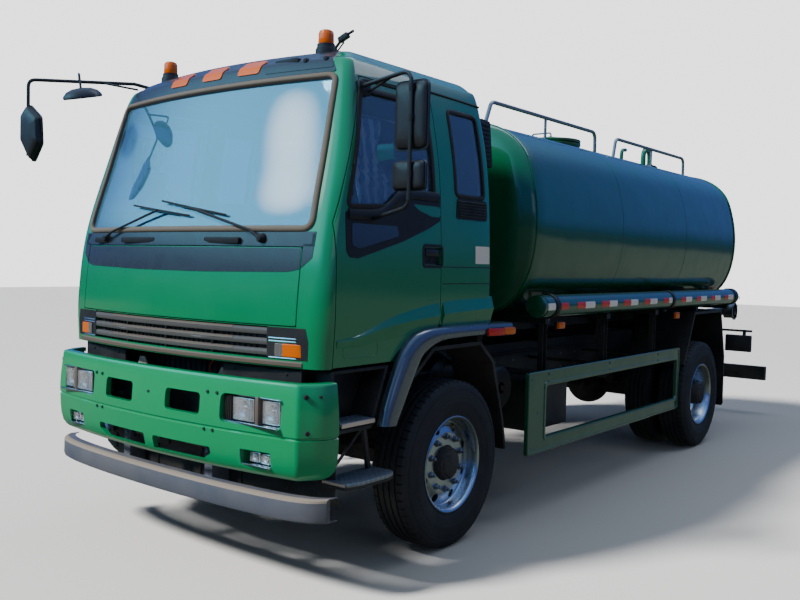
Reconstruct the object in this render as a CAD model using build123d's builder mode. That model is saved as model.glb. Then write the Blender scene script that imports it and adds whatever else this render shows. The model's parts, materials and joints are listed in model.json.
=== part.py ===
from build123d import *
from math import cos, pi, sin
import os

# Two-axle water tanker truck with a tilting forward-control cab.
# All sizes are in millimetres. X runs to the truck's left, Y to its rear and Z up from the ground.
# The origin is on the ground at the middle of the length.
# Stations called y are counted from the front axle, and the planes below carry them to the origin.

# Driving dimensions
WHEELBASE = 4350
FRONT_OVERHANG = 1475
REAR_OVERHANG = 2425
LENGTH = FRONT_OVERHANG + WHEELBASE + REAR_OVERHANG
FRONT_AXLE_Y = FRONT_OVERHANG - LENGTH / 2
HALF_WIDTH = 1200
AXLE_Z = 529

# Wheels: 22.5 inch discs with 11 inch wide radial tyres
TYRE_RADIUS = AXLE_Z
TYRE_HALF_WIDTH = 140
TREAD_HALF_WIDTH = 108
BEAD_RADIUS = 286
FRONT_WHEEL_X = 1020
TWIN_INNER_X = 755
TWIN_OUTER_X = 1095
KING_PIN_X = 850
KING_PIN_RADIUS = 30
SPINDLE_RADIUS = 35
STUD_COUNT = 10
STUD_CIRCLE_RADIUS = 167.5
RUNNING_GAP = 0.05

# Ladder frame
RAIL_OUTER_X = 430
RAIL_WIDTH = 80
RAIL_WEB = 10
RAIL_BOTTOM = 720
RAIL_TOP = 970
RAIL_FRONT = -1230
RAIL_REAR = 6600

# Cab
CAB_BOTTOM = 1220
CAB_REAR = 400
CAB_WALL = 45
CAB_SHOULDER_BACK = 100
CAB_CORNER_BACK = 170
CAB_REAR_RADIUS = 60
CAB_FLOOR = 1270
CAB_REAR_FLOOR = 1470
FIREWALL = -1150
WAIST = 1900
DOOR_FRONT = -1150
DOOR_REAR = -205
SEAM = 6
TILT_Y = -1300
TILT_Z = 900

# Tank
TANK_FRONT = 950
TANK_REAR = 5450
TANK_CENTRE_Z = 2130
SADDLE_ARM_Z = 1362
TUBE_X = 1150
TUBE_Z = 1495
TUBE_RADIUS = 83


def side_plane(x):
    """Upright plane facing left at x: its first axis is the station y, its second is z."""
    return Plane(origin=(x, FRONT_AXLE_Y, 0), x_dir=(0, 1, 0), z_dir=(1, 0, 0))


def front_plane(y):
    """Upright plane facing forward at station y: its first axis is x, its second is z."""
    return Plane(origin=(0, FRONT_AXLE_Y + y, 0), x_dir=(1, 0, 0), z_dir=(0, -1, 0))


def level_plane(z):
    """Level plane facing up at z: its first axis is x, its second is the station y."""
    return Plane(origin=(0, FRONT_AXLE_Y, z), x_dir=(1, 0, 0), z_dir=(0, 0, 1))


def block(x, y, z, mode=Mode.ADD):
    """Box between the limits in x, in station y and in z."""
    with Locations(((x[0] + x[1]) / 2, FRONT_AXLE_Y + (y[0] + y[1]) / 2, (z[0] + z[1]) / 2)):
        Box(x[1] - x[0], y[1] - y[0], z[1] - z[0], mode=mode)


def side_prism(outline, x, mode=Mode.ADD, radius=0):
    """Side-view outline of (y, z) points, carried between the two limits in x."""
    with BuildSketch(side_plane(x[0])) as outline_sketch:
        with BuildLine():
            Polyline(*outline, close=True)
        make_face()
        if radius:
            fillet(vertices(), radius)
    extrude(outline_sketch.sketch, amount=x[1] - x[0], mode=mode)


def front_prism(outline, y, mode=Mode.ADD, radius=0):
    """Front-view outline of (x, z) points, carried between the two limits in y."""
    with BuildSketch(front_plane(y[1])) as outline_sketch:
        with BuildLine():
            Polyline(*outline, close=True)
        make_face()
        if radius:
            fillet(vertices(), radius)
    extrude(outline_sketch.sketch, amount=y[1] - y[0], mode=mode)


def cross_disc(y, z, radius, x, mode=Mode.ADD):
    """Round bar along X with its centre at (y, z), between the two limits in x."""
    with BuildSketch(side_plane(x[0])) as outline_sketch:
        with Locations((y, z)):
            Circle(radius)
    extrude(outline_sketch.sketch, amount=x[1] - x[0], mode=mode)


def long_disc(x, z, radius, y, mode=Mode.ADD):
    """Round bar along Y with its centre at (x, z), between the two limits in y."""
    with BuildSketch(front_plane(y[1])) as outline_sketch:
        with Locations((x, z)):
            Circle(radius)
    extrude(outline_sketch.sketch, amount=y[1] - y[0], mode=mode)


def upright_disc(x, y, radius, z, mode=Mode.ADD):
    """Round bar along Z with its centre at (x, y), between the two limits in z."""
    with BuildSketch(level_plane(z[0])) as outline_sketch:
        with Locations((x, y)):
            Circle(radius)
    extrude(outline_sketch.sketch, amount=z[1] - z[0], mode=mode)


def bent_tube(points, radius, bend):
    """Round bar along straight runs joined by bends; the points are (x, y, z) with y a station."""
    route = [(x, FRONT_AXLE_Y + y, z) for x, y, z in points]
    with BuildLine() as path:
        if bend:
            FilletPolyline(*route, radius=bend)
        else:
            Polyline(*route)
    with BuildSketch(Plane(origin=path.line @ 0, z_dir=path.line % 0)) as section:
        Circle(radius)
    sweep(section.sketch, path=path.line)


# Cab body: level sections from the sill to the roof. A section's front is an arc about
# the nose, its corners are arcs from the shoulder to the side, and its back is flat.
CAB_SECTIONS = (
    # z, half width, shoulder x, nose y, share of an inset that also lowers the section
    (1220, 1138, 1020, -1355, 0),
    (1500, 1153, 1025, -1355, 0),
    (1930, 1147, 1031, -1300, 0),
    (2400, 1112, 1000, -1167, 0),
    (2830, 1020, 955, -1045, 0),
    (2930, 945, 880, -975, 0.6),
    (2985, 840, 780, -860, 1.0),
)


def cab_solid(inset):
    """The whole cab as a closed body, shrunk inwards by the inset."""
    with BuildPart() as cab:
        for z, half, shoulder, nose, lowering in CAB_SECTIONS:
            front = nose + inset
            shoulder_y = nose + CAB_SHOULDER_BACK + 0.95 * inset
            corner_y = nose + CAB_CORNER_BACK + 0.3 * inset
            rear = CAB_REAR - inset
            side = half - inset
            tip = shoulder - 0.3 * inset
            bulge = ((tip + side) / 2 + 18, (shoulder_y + corner_y) / 2 - 14)
            with BuildSketch(level_plane(z - lowering * inset)):
                with BuildLine():
                    ThreePointArc((-tip, shoulder_y), (0, front), (tip, shoulder_y))
                    ThreePointArc((tip, shoulder_y), bulge, (side, corner_y))
                    Line((side, corner_y), (side, rear - CAB_REAR_RADIUS))
                    Line((side, rear - CAB_REAR_RADIUS), (side - CAB_REAR_RADIUS, rear))
                    Line((side - CAB_REAR_RADIUS, rear), (CAB_REAR_RADIUS - side, rear))
                    Line((CAB_REAR_RADIUS - side, rear), (-side, rear - CAB_REAR_RADIUS))
                    Line((-side, rear - CAB_REAR_RADIUS), (-side, corner_y))
                    ThreePointArc((-side, corner_y), (-bulge[0], bulge[1]), (-tip, shoulder_y))
                make_face()
        loft(ruled=True)
    return cab.part


CAB_PROUD = cab_solid(-10)
CAB_OUTER = cab_solid(0)
CAB_GLASS_FACE = cab_solid(8)
CAB_GLASS_BACK = cab_solid(14)
CAB_DOOR_SKIN = cab_solid(12)
CAB_PANEL_BACK = cab_solid(25)
CAB_GRILLE_BACK = cab_solid(32)
CAB_RECESS = cab_solid(35)
CAB_INNER = cab_solid(CAB_WALL)

# Cab outlines in side view, as (y, z)
CAB_UNDERSIDE = ((-645, 1200), (-410, 1410), (500, 1430), (500, 1100), (-645, 1100))
DOOR_OUTLINE = (
    (DOOR_FRONT, 1225), (-660, 1225), (-425, 1420), (DOOR_REAR, 1428),
    (DOOR_REAR, 2800), (-860, 2800), (DOOR_FRONT, 1985),
)
DOOR_OPENING = (
    (DOOR_FRONT - SEAM, 1200), (-645, 1200), (-430, 1405), (DOOR_REAR + SEAM, 1405),
    (DOOR_REAR + SEAM, 2806), (-863, 2806), (DOOR_FRONT - SEAM, 1987),
)
DOOR_LINING = (
    (-1130, 1245), (-670, 1245), (-435, 1440), (DOOR_REAR - 15, 1448),
    (DOOR_REAR - 15, 2782), (-852, 2782), (-1130, 1980),
)
DOOR_WINDOW = ((-1060, 2075), (-640, 2100), (-560, 2170), (-265, 2190), (-265, 2735), (-865, 2735))
QUARTER_WINDOW = ((-90, 2190), (230, 2190), (230, 2710), (-90, 2710))
WINDSCREEN = ((-1000, 1955), (1000, 1955), (940, 2795), (-940, 2795))
PANEL_OUTLINE = ((-975, 1441), (975, 1441), (975, 1853), (-975, 1853))
SIDE_WALLS = (700, 1300)
GRILLE_HALF = 800
GRILLE_BARS = ((1264, 1282), (1304, 1322), (1344, 1362), (1384, 1402), (1414, 1430))
GRILLE_POSTS = (-400, 0, 400)
GRILLE_LOW = 1262
GRILLE_HIGH = 1432
TURN_LAMP_X = (812, 1035)
TURN_LAMP_Z = (1272, 1348)


with BuildPart() as cabin_space:
    add(CAB_INNER)
    side_prism(
        ((FIREWALL, CAB_FLOOR), (-700, CAB_FLOOR), (-600, CAB_REAR_FLOOR), (CAB_REAR, CAB_REAR_FLOOR),
         (CAB_REAR, 3000), (-1400, 3000), (-1400, WAIST), (FIREWALL, WAIST)),
        (-1300, 1300), Mode.INTERSECT)

TRIM_DEPTH = (-1500, -1100)

# Shallow pockets in the cab's nose for the lid, the grille and the turn lamps
with BuildPart() as nose_windows:
    front_prism(((-981, 1435), (981, 1435), (981, 1859), (-981, 1859)), TRIM_DEPTH)
    block((-GRILLE_HALF, GRILLE_HALF), TRIM_DEPTH, (GRILLE_LOW, GRILLE_HIGH))
    for lamp_x in (TURN_LAMP_X, (-TURN_LAMP_X[1], -TURN_LAMP_X[0])):
        block(lamp_x, TRIM_DEPTH, TURN_LAMP_Z)

with BuildPart() as nose_pockets:
    add(CAB_PROUD)
    add(CAB_RECESS, mode=Mode.SUBTRACT)
    add(nose_windows.part, mode=Mode.INTERSECT)

with BuildPart() as cab_shell:
    add(CAB_OUTER)
    side_prism(CAB_UNDERSIDE, (-1300, 1300), Mode.SUBTRACT)
    add(cabin_space.part, mode=Mode.SUBTRACT)
    add(nose_pockets.part, mode=Mode.SUBTRACT)
    front_prism(WINDSCREEN, (-1600, -800), Mode.SUBTRACT, radius=60)
    front_prism(((-450, 2150), (450, 2150), (450, 2650), (-450, 2650)), (300, 500), Mode.SUBTRACT, radius=60)
    for x_sign in (-1, 1):
        x = sorted((x_sign * SIDE_WALLS[0], x_sign * SIDE_WALLS[1]))
        side_prism(DOOR_OPENING, x, Mode.SUBTRACT)
        side_prism(QUARTER_WINDOW, x, Mode.SUBTRACT, radius=40)
        # Tilt arm from the floor back down to the hinge pin on the frame
        with BuildSketch(side_plane(x_sign * 440)):
            with BuildLine():
                Polyline((TILT_Y + 30, TILT_Z - 30), (-980, 1240), (-1090, 1240), (TILT_Y - 25, TILT_Z + 30),
                         close=True)
            make_face()
            with Locations((TILT_Y, TILT_Z)):
                Circle(45)
                Circle(20 + RUNNING_GAP, mode=Mode.SUBTRACT)
        extrude(amount=x_sign * 70)

# Glass, each pane set in its opening with a thin joint all round
with BuildPart() as windscreen:
    add(CAB_GLASS_FACE)
    add(CAB_GLASS_BACK, mode=Mode.SUBTRACT)
    front_prism(((-998, 1957), (998, 1957), (938, 2793), (-938, 2793)), (-1600, -800), Mode.INTERSECT, radius=58)


with BuildPart() as side_openings:
    for x_sign in (-1, 1):
        x = sorted((x_sign * SIDE_WALLS[0], x_sign * SIDE_WALLS[1]))
        side_prism(((-88, 2192), (228, 2192), (228, 2708), (-88, 2708)), x, radius=38)

with BuildPart() as rear_opening:
    front_prism(((-448, 2152), (448, 2152), (448, 2648), (-448, 2648)), (300, 500), radius=58)

with BuildPart() as cab_glass:
    add(CAB_GLASS_FACE)
    add(CAB_GLASS_BACK, mode=Mode.SUBTRACT)
    add(side_openings.part + rear_opening.part, mode=Mode.INTERSECT)

# Front lid and the trim below it
with BuildPart() as front_panel:
    add(CAB_OUTER)
    add(CAB_PANEL_BACK, mode=Mode.SUBTRACT)
    front_prism(PANEL_OUTLINE, TRIM_DEPTH, Mode.INTERSECT, radius=12)

GRILLE_WIDTH = (3 - GRILLE_HALF, GRILLE_HALF - 3)

with BuildPart() as grille_bars:
    for bar in GRILLE_BARS:
        block(GRILLE_WIDTH, TRIM_DEPTH, bar)
    for x_mid in GRILLE_POSTS:
        block((x_mid - 6, x_mid + 6), TRIM_DEPTH, (GRILLE_LOW + 2, GRILLE_HIGH - 2))

with BuildPart() as grille_back:
    add(CAB_PANEL_BACK)
    add(CAB_GRILLE_BACK, mode=Mode.SUBTRACT)
    front_prism(((GRILLE_WIDTH[0], GRILLE_LOW + 2), (GRILLE_WIDTH[1], GRILLE_LOW + 2),
                 (GRILLE_WIDTH[1], GRILLE_HIGH - 2), (GRILLE_WIDTH[0], GRILLE_HIGH - 2)),
                TRIM_DEPTH, Mode.INTERSECT)

with BuildPart() as grille:
    add(CAB_OUTER)
    add(CAB_PANEL_BACK, mode=Mode.SUBTRACT)
    add(grille_bars.part, mode=Mode.INTERSECT)
    add(grille_back.part)

with BuildPart() as turn_lamps:
    add(CAB_PROUD)
    add(CAB_GRILLE_BACK, mode=Mode.SUBTRACT)
    front_prism(((TURN_LAMP_X[0] + 2, TURN_LAMP_Z[0] + 2), (TURN_LAMP_X[1] - 2, TURN_LAMP_Z[0] + 2),
                 (TURN_LAMP_X[1] - 2, TURN_LAMP_Z[1] - 2), (TURN_LAMP_X[0] + 2, TURN_LAMP_Z[1] - 2)),
                TRIM_DEPTH, Mode.INTERSECT)
    mirror(about=Plane.YZ)

# Doors: an outer skin over a smaller lining, so that the shut edge swings clear
with BuildPart() as door_skin:
    add(CAB_OUTER)
    add(CAB_DOOR_SKIN, mode=Mode.SUBTRACT)
    side_prism(DOOR_OUTLINE, SIDE_WALLS, Mode.INTERSECT)

with BuildPart() as door_left:
    add(CAB_DOOR_SKIN)
    add(CAB_INNER, mode=Mode.SUBTRACT)
    side_prism(DOOR_LINING, SIDE_WALLS, Mode.INTERSECT)
    add(door_skin.part)
    side_prism(DOOR_WINDOW, SIDE_WALLS, Mode.SUBTRACT, radius=30)
    # Pull handle, standing on the skin behind the window
    block((1140, 1162), (-385, -265), (1815, 1850))


with BuildPart() as door_left_glass:
    add(CAB_GLASS_FACE)
    add(CAB_GLASS_BACK, mode=Mode.SUBTRACT)
    side_prism(DOOR_WINDOW, SIDE_WALLS, Mode.INTERSECT, radius=30)

# Mirror on the left door: a hooped arm with a tall mirror over a small round-cornered one
MIRROR_ARM_RADIUS = 12
MIRROR_DROP_X = 1400
MIRROR_Y = -850

with BuildPart() as mirror_left:
    bent_tube(((1020, MIRROR_Y, 2740), (MIRROR_DROP_X, MIRROR_Y, 2790), (MIRROR_DROP_X, MIRROR_Y, 2080),
               (1110, MIRROR_Y, 2010)), MIRROR_ARM_RADIUS, 60)
    block((1300, 1490), (-885, -835), (2380, 2710))
    block((1310, 1480), (-885, -835), (2160, 2340))
    add(CAB_OUTER, mode=Mode.SUBTRACT)

# Mirror on the cab's right front corner, carried forward of the windscreen
with BuildPart() as mirror_right:
    bent_tube(((-900, -640, 2930), (-1040, -850, 2990), (-1400, -1440, 2960), (-1400, -1440, 2200)),
              MIRROR_ARM_RADIUS, 50)
    block((-1490, -1300), (-1475, -1425), (2400, 2800))
    block((-1060, -880), (-1360, -1260), (2800, 2860))
    bent_tube(((-1230, -1161, 2974), (-1000, -1310, 2980), (-970, -1310, 2850)), 10, 40)
    add(CAB_OUTER, mode=Mode.SUBTRACT)

# Doors and mirrors on the right are the left ones mirrored, except for the mirror arm
with BuildPart() as door_right:
    mirror(door_left.part, about=Plane.YZ)

with BuildPart() as door_right_glass:
    mirror(door_left_glass.part, about=Plane.YZ)

# Cabin fittings
with BuildPart() as dashboard:
    side_prism(((-1148, 1560), (-1000, 1560), (-860, 1700), (-820, 1900), (-900, 1950), (-1148, 1950)),
               (-1000, 1000))

SEATS = (
    # x middle, half width, back top
    (-600, 250, 2480),
    (0, 210, 2380),
    (600, 250, 2480),
)

with BuildPart() as seats:
    for x_mid, half, back_top in SEATS:
        x = (x_mid - half, x_mid + half)
        side_prism(((-440, 1471), (20, 1471), (20, 1800), (-460, 1830), (-470, 1720)), x)
        side_prism(((-20, 1760), (110, 1760), (230, back_top), (130, back_top)), x)
        block((x_mid - 130, x_mid + 130), (150, 230), (back_top, back_top + 200))

WHEEL_HUB = (600, -640, 2010)

with BuildPart() as steering_wheel:
    with Locations(Plane(origin=(WHEEL_HUB[0], FRONT_AXLE_Y + WHEEL_HUB[1], WHEEL_HUB[2]), z_dir=(0, 0.5, 1))):
        Torus(225, 16)
        Cylinder(60, 50)
        Box(30, 430, 14)
        Box(430, 30, 14)
        Cylinder(28, 360, align=(Align.CENTER, Align.CENTER, Align.MAX))
    add(dashboard.part, mode=Mode.SUBTRACT)

# Roof fittings
with BuildPart() as roof_lamps:
    for x_mid in (-360, 0, 360):
        block((x_mid - 95, x_mid + 95), (-1075, -900), (2885, 2945))
    fillet(edges().filter_by(Axis.Z), 30)
    add(CAB_OUTER, mode=Mode.SUBTRACT)

BEACON_X = 715
BEACON_Y = -790

with BuildPart() as beacons:
    for x_sign in (-1, 1):
        upright_disc(x_sign * BEACON_X, BEACON_Y, 55, (2940, 3030))
        upright_disc(x_sign * BEACON_X, BEACON_Y, 45, (3030, 3112))
    block((790, 900), (-810, -780), (2900, 3080))
    add(CAB_OUTER, mode=Mode.SUBTRACT)

WIPER_PIVOT = (715, -1330, 1905)

with BuildPart() as wipers:
    bent_tube((WIPER_PIVOT, (640, -1325, 1940), (130, -1305, 2075)), 9, 20)
    bent_tube(((-740, -1320, 1905), (-660, -1325, 1940), (-200, -1305, 2075)), 9, 20)
    add(CAB_OUTER, mode=Mode.SUBTRACT)

# Wheel-arch flares on the cab
FLARE_OUTLINE = (
    (-770, 860), (-650, 860), (-470, 1110), (-345, 1280), (-230, 1325), (620, 1325),
    (620, 1408), (-395, 1398), (-620, 1205),
)

with BuildPart() as arch_flares:
    side_prism(FLARE_OUTLINE, (1140, 1198))
    block((1100, 1150), (330, 390), (1360, 1408))
    mirror(about=Plane.YZ)

# Steering knuckles: a king pin, a backing plate and a stub axle
KNUCKLE_ARMS = ((400, 440), (620, 660))

with BuildPart() as knuckle_left:
    upright_disc(KING_PIN_X, 0, KING_PIN_RADIUS, (400, 660))
    for low, high in KNUCKLE_ARMS:
        block((KING_PIN_X - 45, 920), (-55, 55), (low, high))
    cross_disc(0, AXLE_Z, 190, (905, 925))
    cross_disc(0, AXLE_Z, SPINDLE_RADIUS, (925, 1130))

with BuildPart() as knuckle_right:
    mirror(knuckle_left.part, about=Plane.YZ)

# Tyres are many-sided rings that stand on a flat; the rows run across the tread
TYRE_SIDES = 48
SIDEWALL_RADIUS = 420
TYRE_RINGS = (
    # offset from the tyre's middle, radius to the flats
    (-TYRE_HALF_WIDTH, SIDEWALL_RADIUS),
    (6 - TYRE_HALF_WIDTH, TYRE_RADIUS - 45),
    (-TREAD_HALF_WIDTH, TYRE_RADIUS),
    (TREAD_HALF_WIDTH, TYRE_RADIUS),
    (TYRE_HALF_WIDTH - 6, TYRE_RADIUS - 45),
    (TYRE_HALF_WIDTH, SIDEWALL_RADIUS),
)
BEAD_OFFSET = 102
RIM_OUTER = BEAD_RADIUS - 0.3


def tyre_ring(x, y, radius):
    """Corners of a many-sided ring about an axle along X, with a flat at its lowest point."""
    corner = radius / cos(pi / TYRE_SIDES)
    turns = [2 * pi * (side + 0.5) / TYRE_SIDES for side in range(TYRE_SIDES)]
    return [(x, FRONT_AXLE_Y + y + corner * cos(turn), AXLE_Z + corner * sin(turn)) for turn in turns]


def tyre(x, y):
    """Tyre about an axle along X, centred on x at station y."""
    ConvexPolyhedron([corner for offset, radius in TYRE_RINGS for corner in tyre_ring(x + offset, y, radius)])
    for facing in (-1, 1):
        rings = ((TYRE_HALF_WIDTH + 2, SIDEWALL_RADIUS + 6), (BEAD_OFFSET, BEAD_RADIUS))
        dish = [tyre_ring(x + facing * offset, y, radius) for offset, radius in rings]
        ConvexPolyhedron(dish[0] + dish[1], mode=Mode.SUBTRACT)
    ConvexPolyhedron(
        tyre_ring(x - TYRE_HALF_WIDTH, y, BEAD_RADIUS) + tyre_ring(x + TYRE_HALF_WIDTH, y, BEAD_RADIUS),
        mode=Mode.SUBTRACT,
    )


def turned(section, x, y, facing):
    """Solid of revolution about an axle along X; the section's first numbers run outwards from x."""
    plane = Plane(origin=(x, FRONT_AXLE_Y + y, AXLE_Z), x_dir=(facing, 0, 0), z_dir=(0, -facing, 0))
    with BuildSketch(plane) as profile:
        with BuildLine():
            Polyline(*section, close=True)
        make_face()
    revolve(profile.sketch, axis=Axis((0, FRONT_AXLE_Y + y, AXLE_Z), (1, 0, 0)))


# Disc wheel of the front axle, as (outwards from the wheel's centre, radius): the rim well,
# the disc close to the outer edge and the hub that runs on the stub axle
FRONT_RIM_SECTION = (
    (-102, RIM_OUTER), (108, RIM_OUTER), (108, 262), (70, 240), (60, 205), (48, 150), (48, 120),
    (95, 105), (112, 95), (112, SPINDLE_RADIUS + 3), (60, SPINDLE_RADIUS + RUNNING_GAP),
    (-40, SPINDLE_RADIUS + RUNNING_GAP), (-40, 90), (30, 130), (36, 205), (48, 246), (-102, 262),
)
# Rear wheels face the other way round, so the outer one is a deep dish with the hub in it
REAR_OUTER_SECTION = (
    (-102, RIM_OUTER), (108, RIM_OUTER), (108, 266), (-30, 246), (-62, 205), (-72, 150), (-72, 125),
    (30, 110), (60, 85), (60, 0), (-96, 0), (-96, 205), (-102, 240),
)
REAR_INNER_SECTION = (
    (-108, RIM_OUTER), (102, RIM_OUTER), (102, 205), (78, 200), (62, 246), (-108, 262),
)
HAND_HOLE_RADIUS = 30
HAND_HOLE_CIRCLE = 208


def wheel_studs(x_range, y):
    """Ring of wheel studs between the two limits in x."""
    with BuildSketch(side_plane(x_range[0])) as ring:
        with Locations((y, AXLE_Z)):
            with PolarLocations(STUD_CIRCLE_RADIUS, STUD_COUNT):
                Circle(15)
    extrude(ring.sketch, amount=x_range[1] - x_range[0])


def hand_holes(x_range, y):
    """Ring of hand holes through a wheel's disc."""
    with BuildSketch(side_plane(x_range[0])) as ring:
        with Locations((y, AXLE_Z)):
            with PolarLocations(HAND_HOLE_CIRCLE, STUD_COUNT, start_angle=18):
                Circle(HAND_HOLE_RADIUS)
    extrude(ring.sketch, amount=x_range[1] - x_range[0], mode=Mode.SUBTRACT)


with BuildPart() as front_left_tyre:
    tyre(FRONT_WHEEL_X, 0)

with BuildPart() as front_left_rim:
    turned(FRONT_RIM_SECTION, FRONT_WHEEL_X, 0, 1)
    hand_holes((FRONT_WHEEL_X + 20, FRONT_WHEEL_X + 110), 0)
    wheel_studs((FRONT_WHEEL_X + 40, FRONT_WHEEL_X + 80), 0)

with BuildPart() as rear_left_tyres:
    tyre(TWIN_INNER_X, WHEELBASE)
    tyre(TWIN_OUTER_X, WHEELBASE)

with BuildPart() as rear_left_rims:
    turned(REAR_INNER_SECTION, TWIN_INNER_X, WHEELBASE, 1)
    turned(REAR_OUTER_SECTION, TWIN_OUTER_X, WHEELBASE, 1)
    cross_disc(WHEELBASE, AXLE_Z, 205, (TWIN_INNER_X + 78, TWIN_OUTER_X - 96))
    hand_holes((TWIN_OUTER_X - 110, TWIN_OUTER_X - 20), WHEELBASE)
    wheel_studs((TWIN_OUTER_X - 80, TWIN_OUTER_X - 40), WHEELBASE)
    # Bearing seat on the axle tube
    cross_disc(WHEELBASE, AXLE_Z, 60 + RUNNING_GAP, (600, 960), Mode.SUBTRACT)

with BuildPart() as front_right_tyre:
    mirror(front_left_tyre.part, about=Plane.YZ)

with BuildPart() as front_right_rim:
    mirror(front_left_rim.part, about=Plane.YZ)

with BuildPart() as rear_right_tyres:
    mirror(rear_left_tyres.part, about=Plane.YZ)

with BuildPart() as rear_right_rims:
    mirror(rear_left_rims.part, about=Plane.YZ)

# Ladder frame: two channel rails, their cross members and the cab's hinge brackets
CROSS_MEMBERS = (-1180, 850, 1750, 2950, 3700, 5000, 6560)
CROSS_MEMBER_Z = (850, 950)
# Coupling flange in the tail cross member: hole spacings and hole radius
HITCH_SPACING_X = 160
HITCH_SPACING_Z = 100
HITCH_HOLE_RADIUS = 10.5
HITCH_Z = 845

with BuildPart() as frame_rails:
    block((RAIL_OUTER_X - RAIL_WIDTH, RAIL_OUTER_X), (RAIL_FRONT, RAIL_REAR), (RAIL_BOTTOM, RAIL_TOP))
    block((RAIL_OUTER_X - RAIL_WIDTH, RAIL_OUTER_X - RAIL_WEB), (RAIL_FRONT, RAIL_REAR),
          (RAIL_BOTTOM + RAIL_WEB, RAIL_TOP - RAIL_WEB), Mode.SUBTRACT)
    # Hinge bracket outside the rail, with the pin that carries the cab's tilt arm
    block((RAIL_OUTER_X, 435), (TILT_Y + 50, TILT_Y + 200), (840, 960))
    block((RAIL_OUTER_X, 435), (TILT_Y - 40, TILT_Y + 60), (850, 950))
    cross_disc(TILT_Y, TILT_Z, 20, (435, 520))
    mirror(about=Plane.YZ)
    for y_mid in CROSS_MEMBERS:
        block((RAIL_WEB - RAIL_OUTER_X, RAIL_OUTER_X - RAIL_WEB), (y_mid - 30, y_mid + 30), CROSS_MEMBER_Z)
    block((RAIL_WEB - RAIL_OUTER_X, RAIL_OUTER_X - RAIL_WEB), (RAIL_REAR - 20, RAIL_REAR), (740, 950))
    with BuildSketch(front_plane(RAIL_REAR)):
        with Locations((0, HITCH_Z)):
            with GridLocations(HITCH_SPACING_X, HITCH_SPACING_Z, 2, 2):
                Circle(HITCH_HOLE_RADIUS)
    extrude(amount=80, mode=Mode.SUBTRACT)

# Running gear on the frame
with BuildPart() as front_axle_beam:
    block((-790, 790), (-45, 45), (450, 540))
    for x_sign in (-1, 1):
        upright_disc(x_sign * KING_PIN_X, 0, 55, (446, 614))
        block(sorted((x_sign * 700, x_sign * 815)), (-45, 45), (450, 600))
        upright_disc(x_sign * KING_PIN_X, 0, KING_PIN_RADIUS + RUNNING_GAP, (440, 620), Mode.SUBTRACT)
    for x_sign in (-1, 1):
        block(sorted((x_sign * 380, x_sign * 480)), (-90, 90), (540, 575))

with BuildPart() as rear_axle:
    cross_disc(WHEELBASE, AXLE_Z, 60, (-950, 950))
    cross_disc(WHEELBASE, AXLE_Z, 95, (-600, 600))
    with Locations((0, FRONT_AXLE_Y + WHEELBASE, AXLE_Z)):
        Sphere(225)
    long_disc(0, AXLE_Z + 40, 110, (WHEELBASE - 330, WHEELBASE - 100))
    # Propeller shaft forward to the gearbox
    bent_tube(((0, WHEELBASE - 330, AXLE_Z + 40), (0, 735, 757)), 50, 0)
    for x_sign in (-1, 1):
        block(sorted((x_sign * 380, x_sign * 480)), (WHEELBASE - 90, WHEELBASE + 90), (560, 640))

SPRINGS = (
    # station, half length, z of the seat, z of the eyes
    (0, 760, 575, 692),
    (WHEELBASE, 800, 640, 692),
)

with BuildPart() as leaf_springs:
    for y_mid, half, seat, eye in SPRINGS:
        with BuildSketch(side_plane(RAIL_OUTER_X - 35)):
            with BuildLine():
                ThreePointArc((y_mid - half, eye), (y_mid, seat), (y_mid + half, eye))
                Line((y_mid + half, eye), (y_mid + half, eye + 28))
                ThreePointArc((y_mid + half, eye + 28), (y_mid, seat + 70), (y_mid - half, eye + 28))
                Line((y_mid - half, eye + 28), (y_mid - half, eye))
            make_face()
        extrude(amount=70)
    mirror(about=Plane.YZ)

with BuildPart() as engine_block:
    block((-300, 300), (-980, 330), (600, 1190))
    block((-190, 190), (330, 720), (620, 930))
    # Feet that stand on the frame rails' webs
    for x_sign in (-1, 1):
        for y_front in (-700, 100):
            block(sorted((x_sign * 300, x_sign * (RAIL_OUTER_X - RAIL_WEB))), (y_front, y_front + 120),
                  (800, 860))

with BuildPart() as radiator:
    block((-350, 350), (-1110, -1030), (600, 1200))

with BuildPart() as fuel_tank:
    block((-1050, -480), (1250, 2250), (500, 960))
    fillet(edges().filter_by(Axis.Y), 60)

with BuildPart() as air_reservoirs:
    cross_disc(800, 915, 160, (470, 1000))
    cross_disc(800, 915, 160, (-1000, -470))
    fillet(edges().filter_by(GeomType.CIRCLE), 30)

with BuildPart() as battery_box:
    block((480, 1040), (1150, 1750), (560, 940))
    fillet(edges().filter_by(Axis.Z), 15)

# Bumper: level sections of a bowed bar whose ends turn back along the sides
BUMPER_SECTIONS = (
    # z, inset from the fullest section
    (640, 55),
    (700, 18),
    (874, 0),
    (1155, 22),
)


def bumper_solid(inset, sections):
    """Closed body of the bumper's outer form, shrunk inwards and open to the rear."""
    with BuildPart() as body:
        for z, section_inset in sections:
            total = inset + section_inset
            with BuildSketch(level_plane(z)):
                with BuildLine():
                    ThreePointArc((-1100 + total * 0.6, -1372 + total), (0, -1475 + total),
                                  (1100 - total * 0.6, -1372 + total))
                    Line((1100 - total * 0.6, -1372 + total), (1185 - total, -1315 + total * 0.6))
                    Line((1185 - total, -1315 + total * 0.6), (1200 - total, -1157))
                    Line((1200 - total, -1157), (-1200 + total, -1157))
                    Line((-1200 + total, -1157), (-1185 + total, -1315 + total * 0.6))
                    Line((-1185 + total, -1315 + total * 0.6), (-1100 + total * 0.6, -1372 + total))
                make_face()
        loft(ruled=True)
    return body.part


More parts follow.
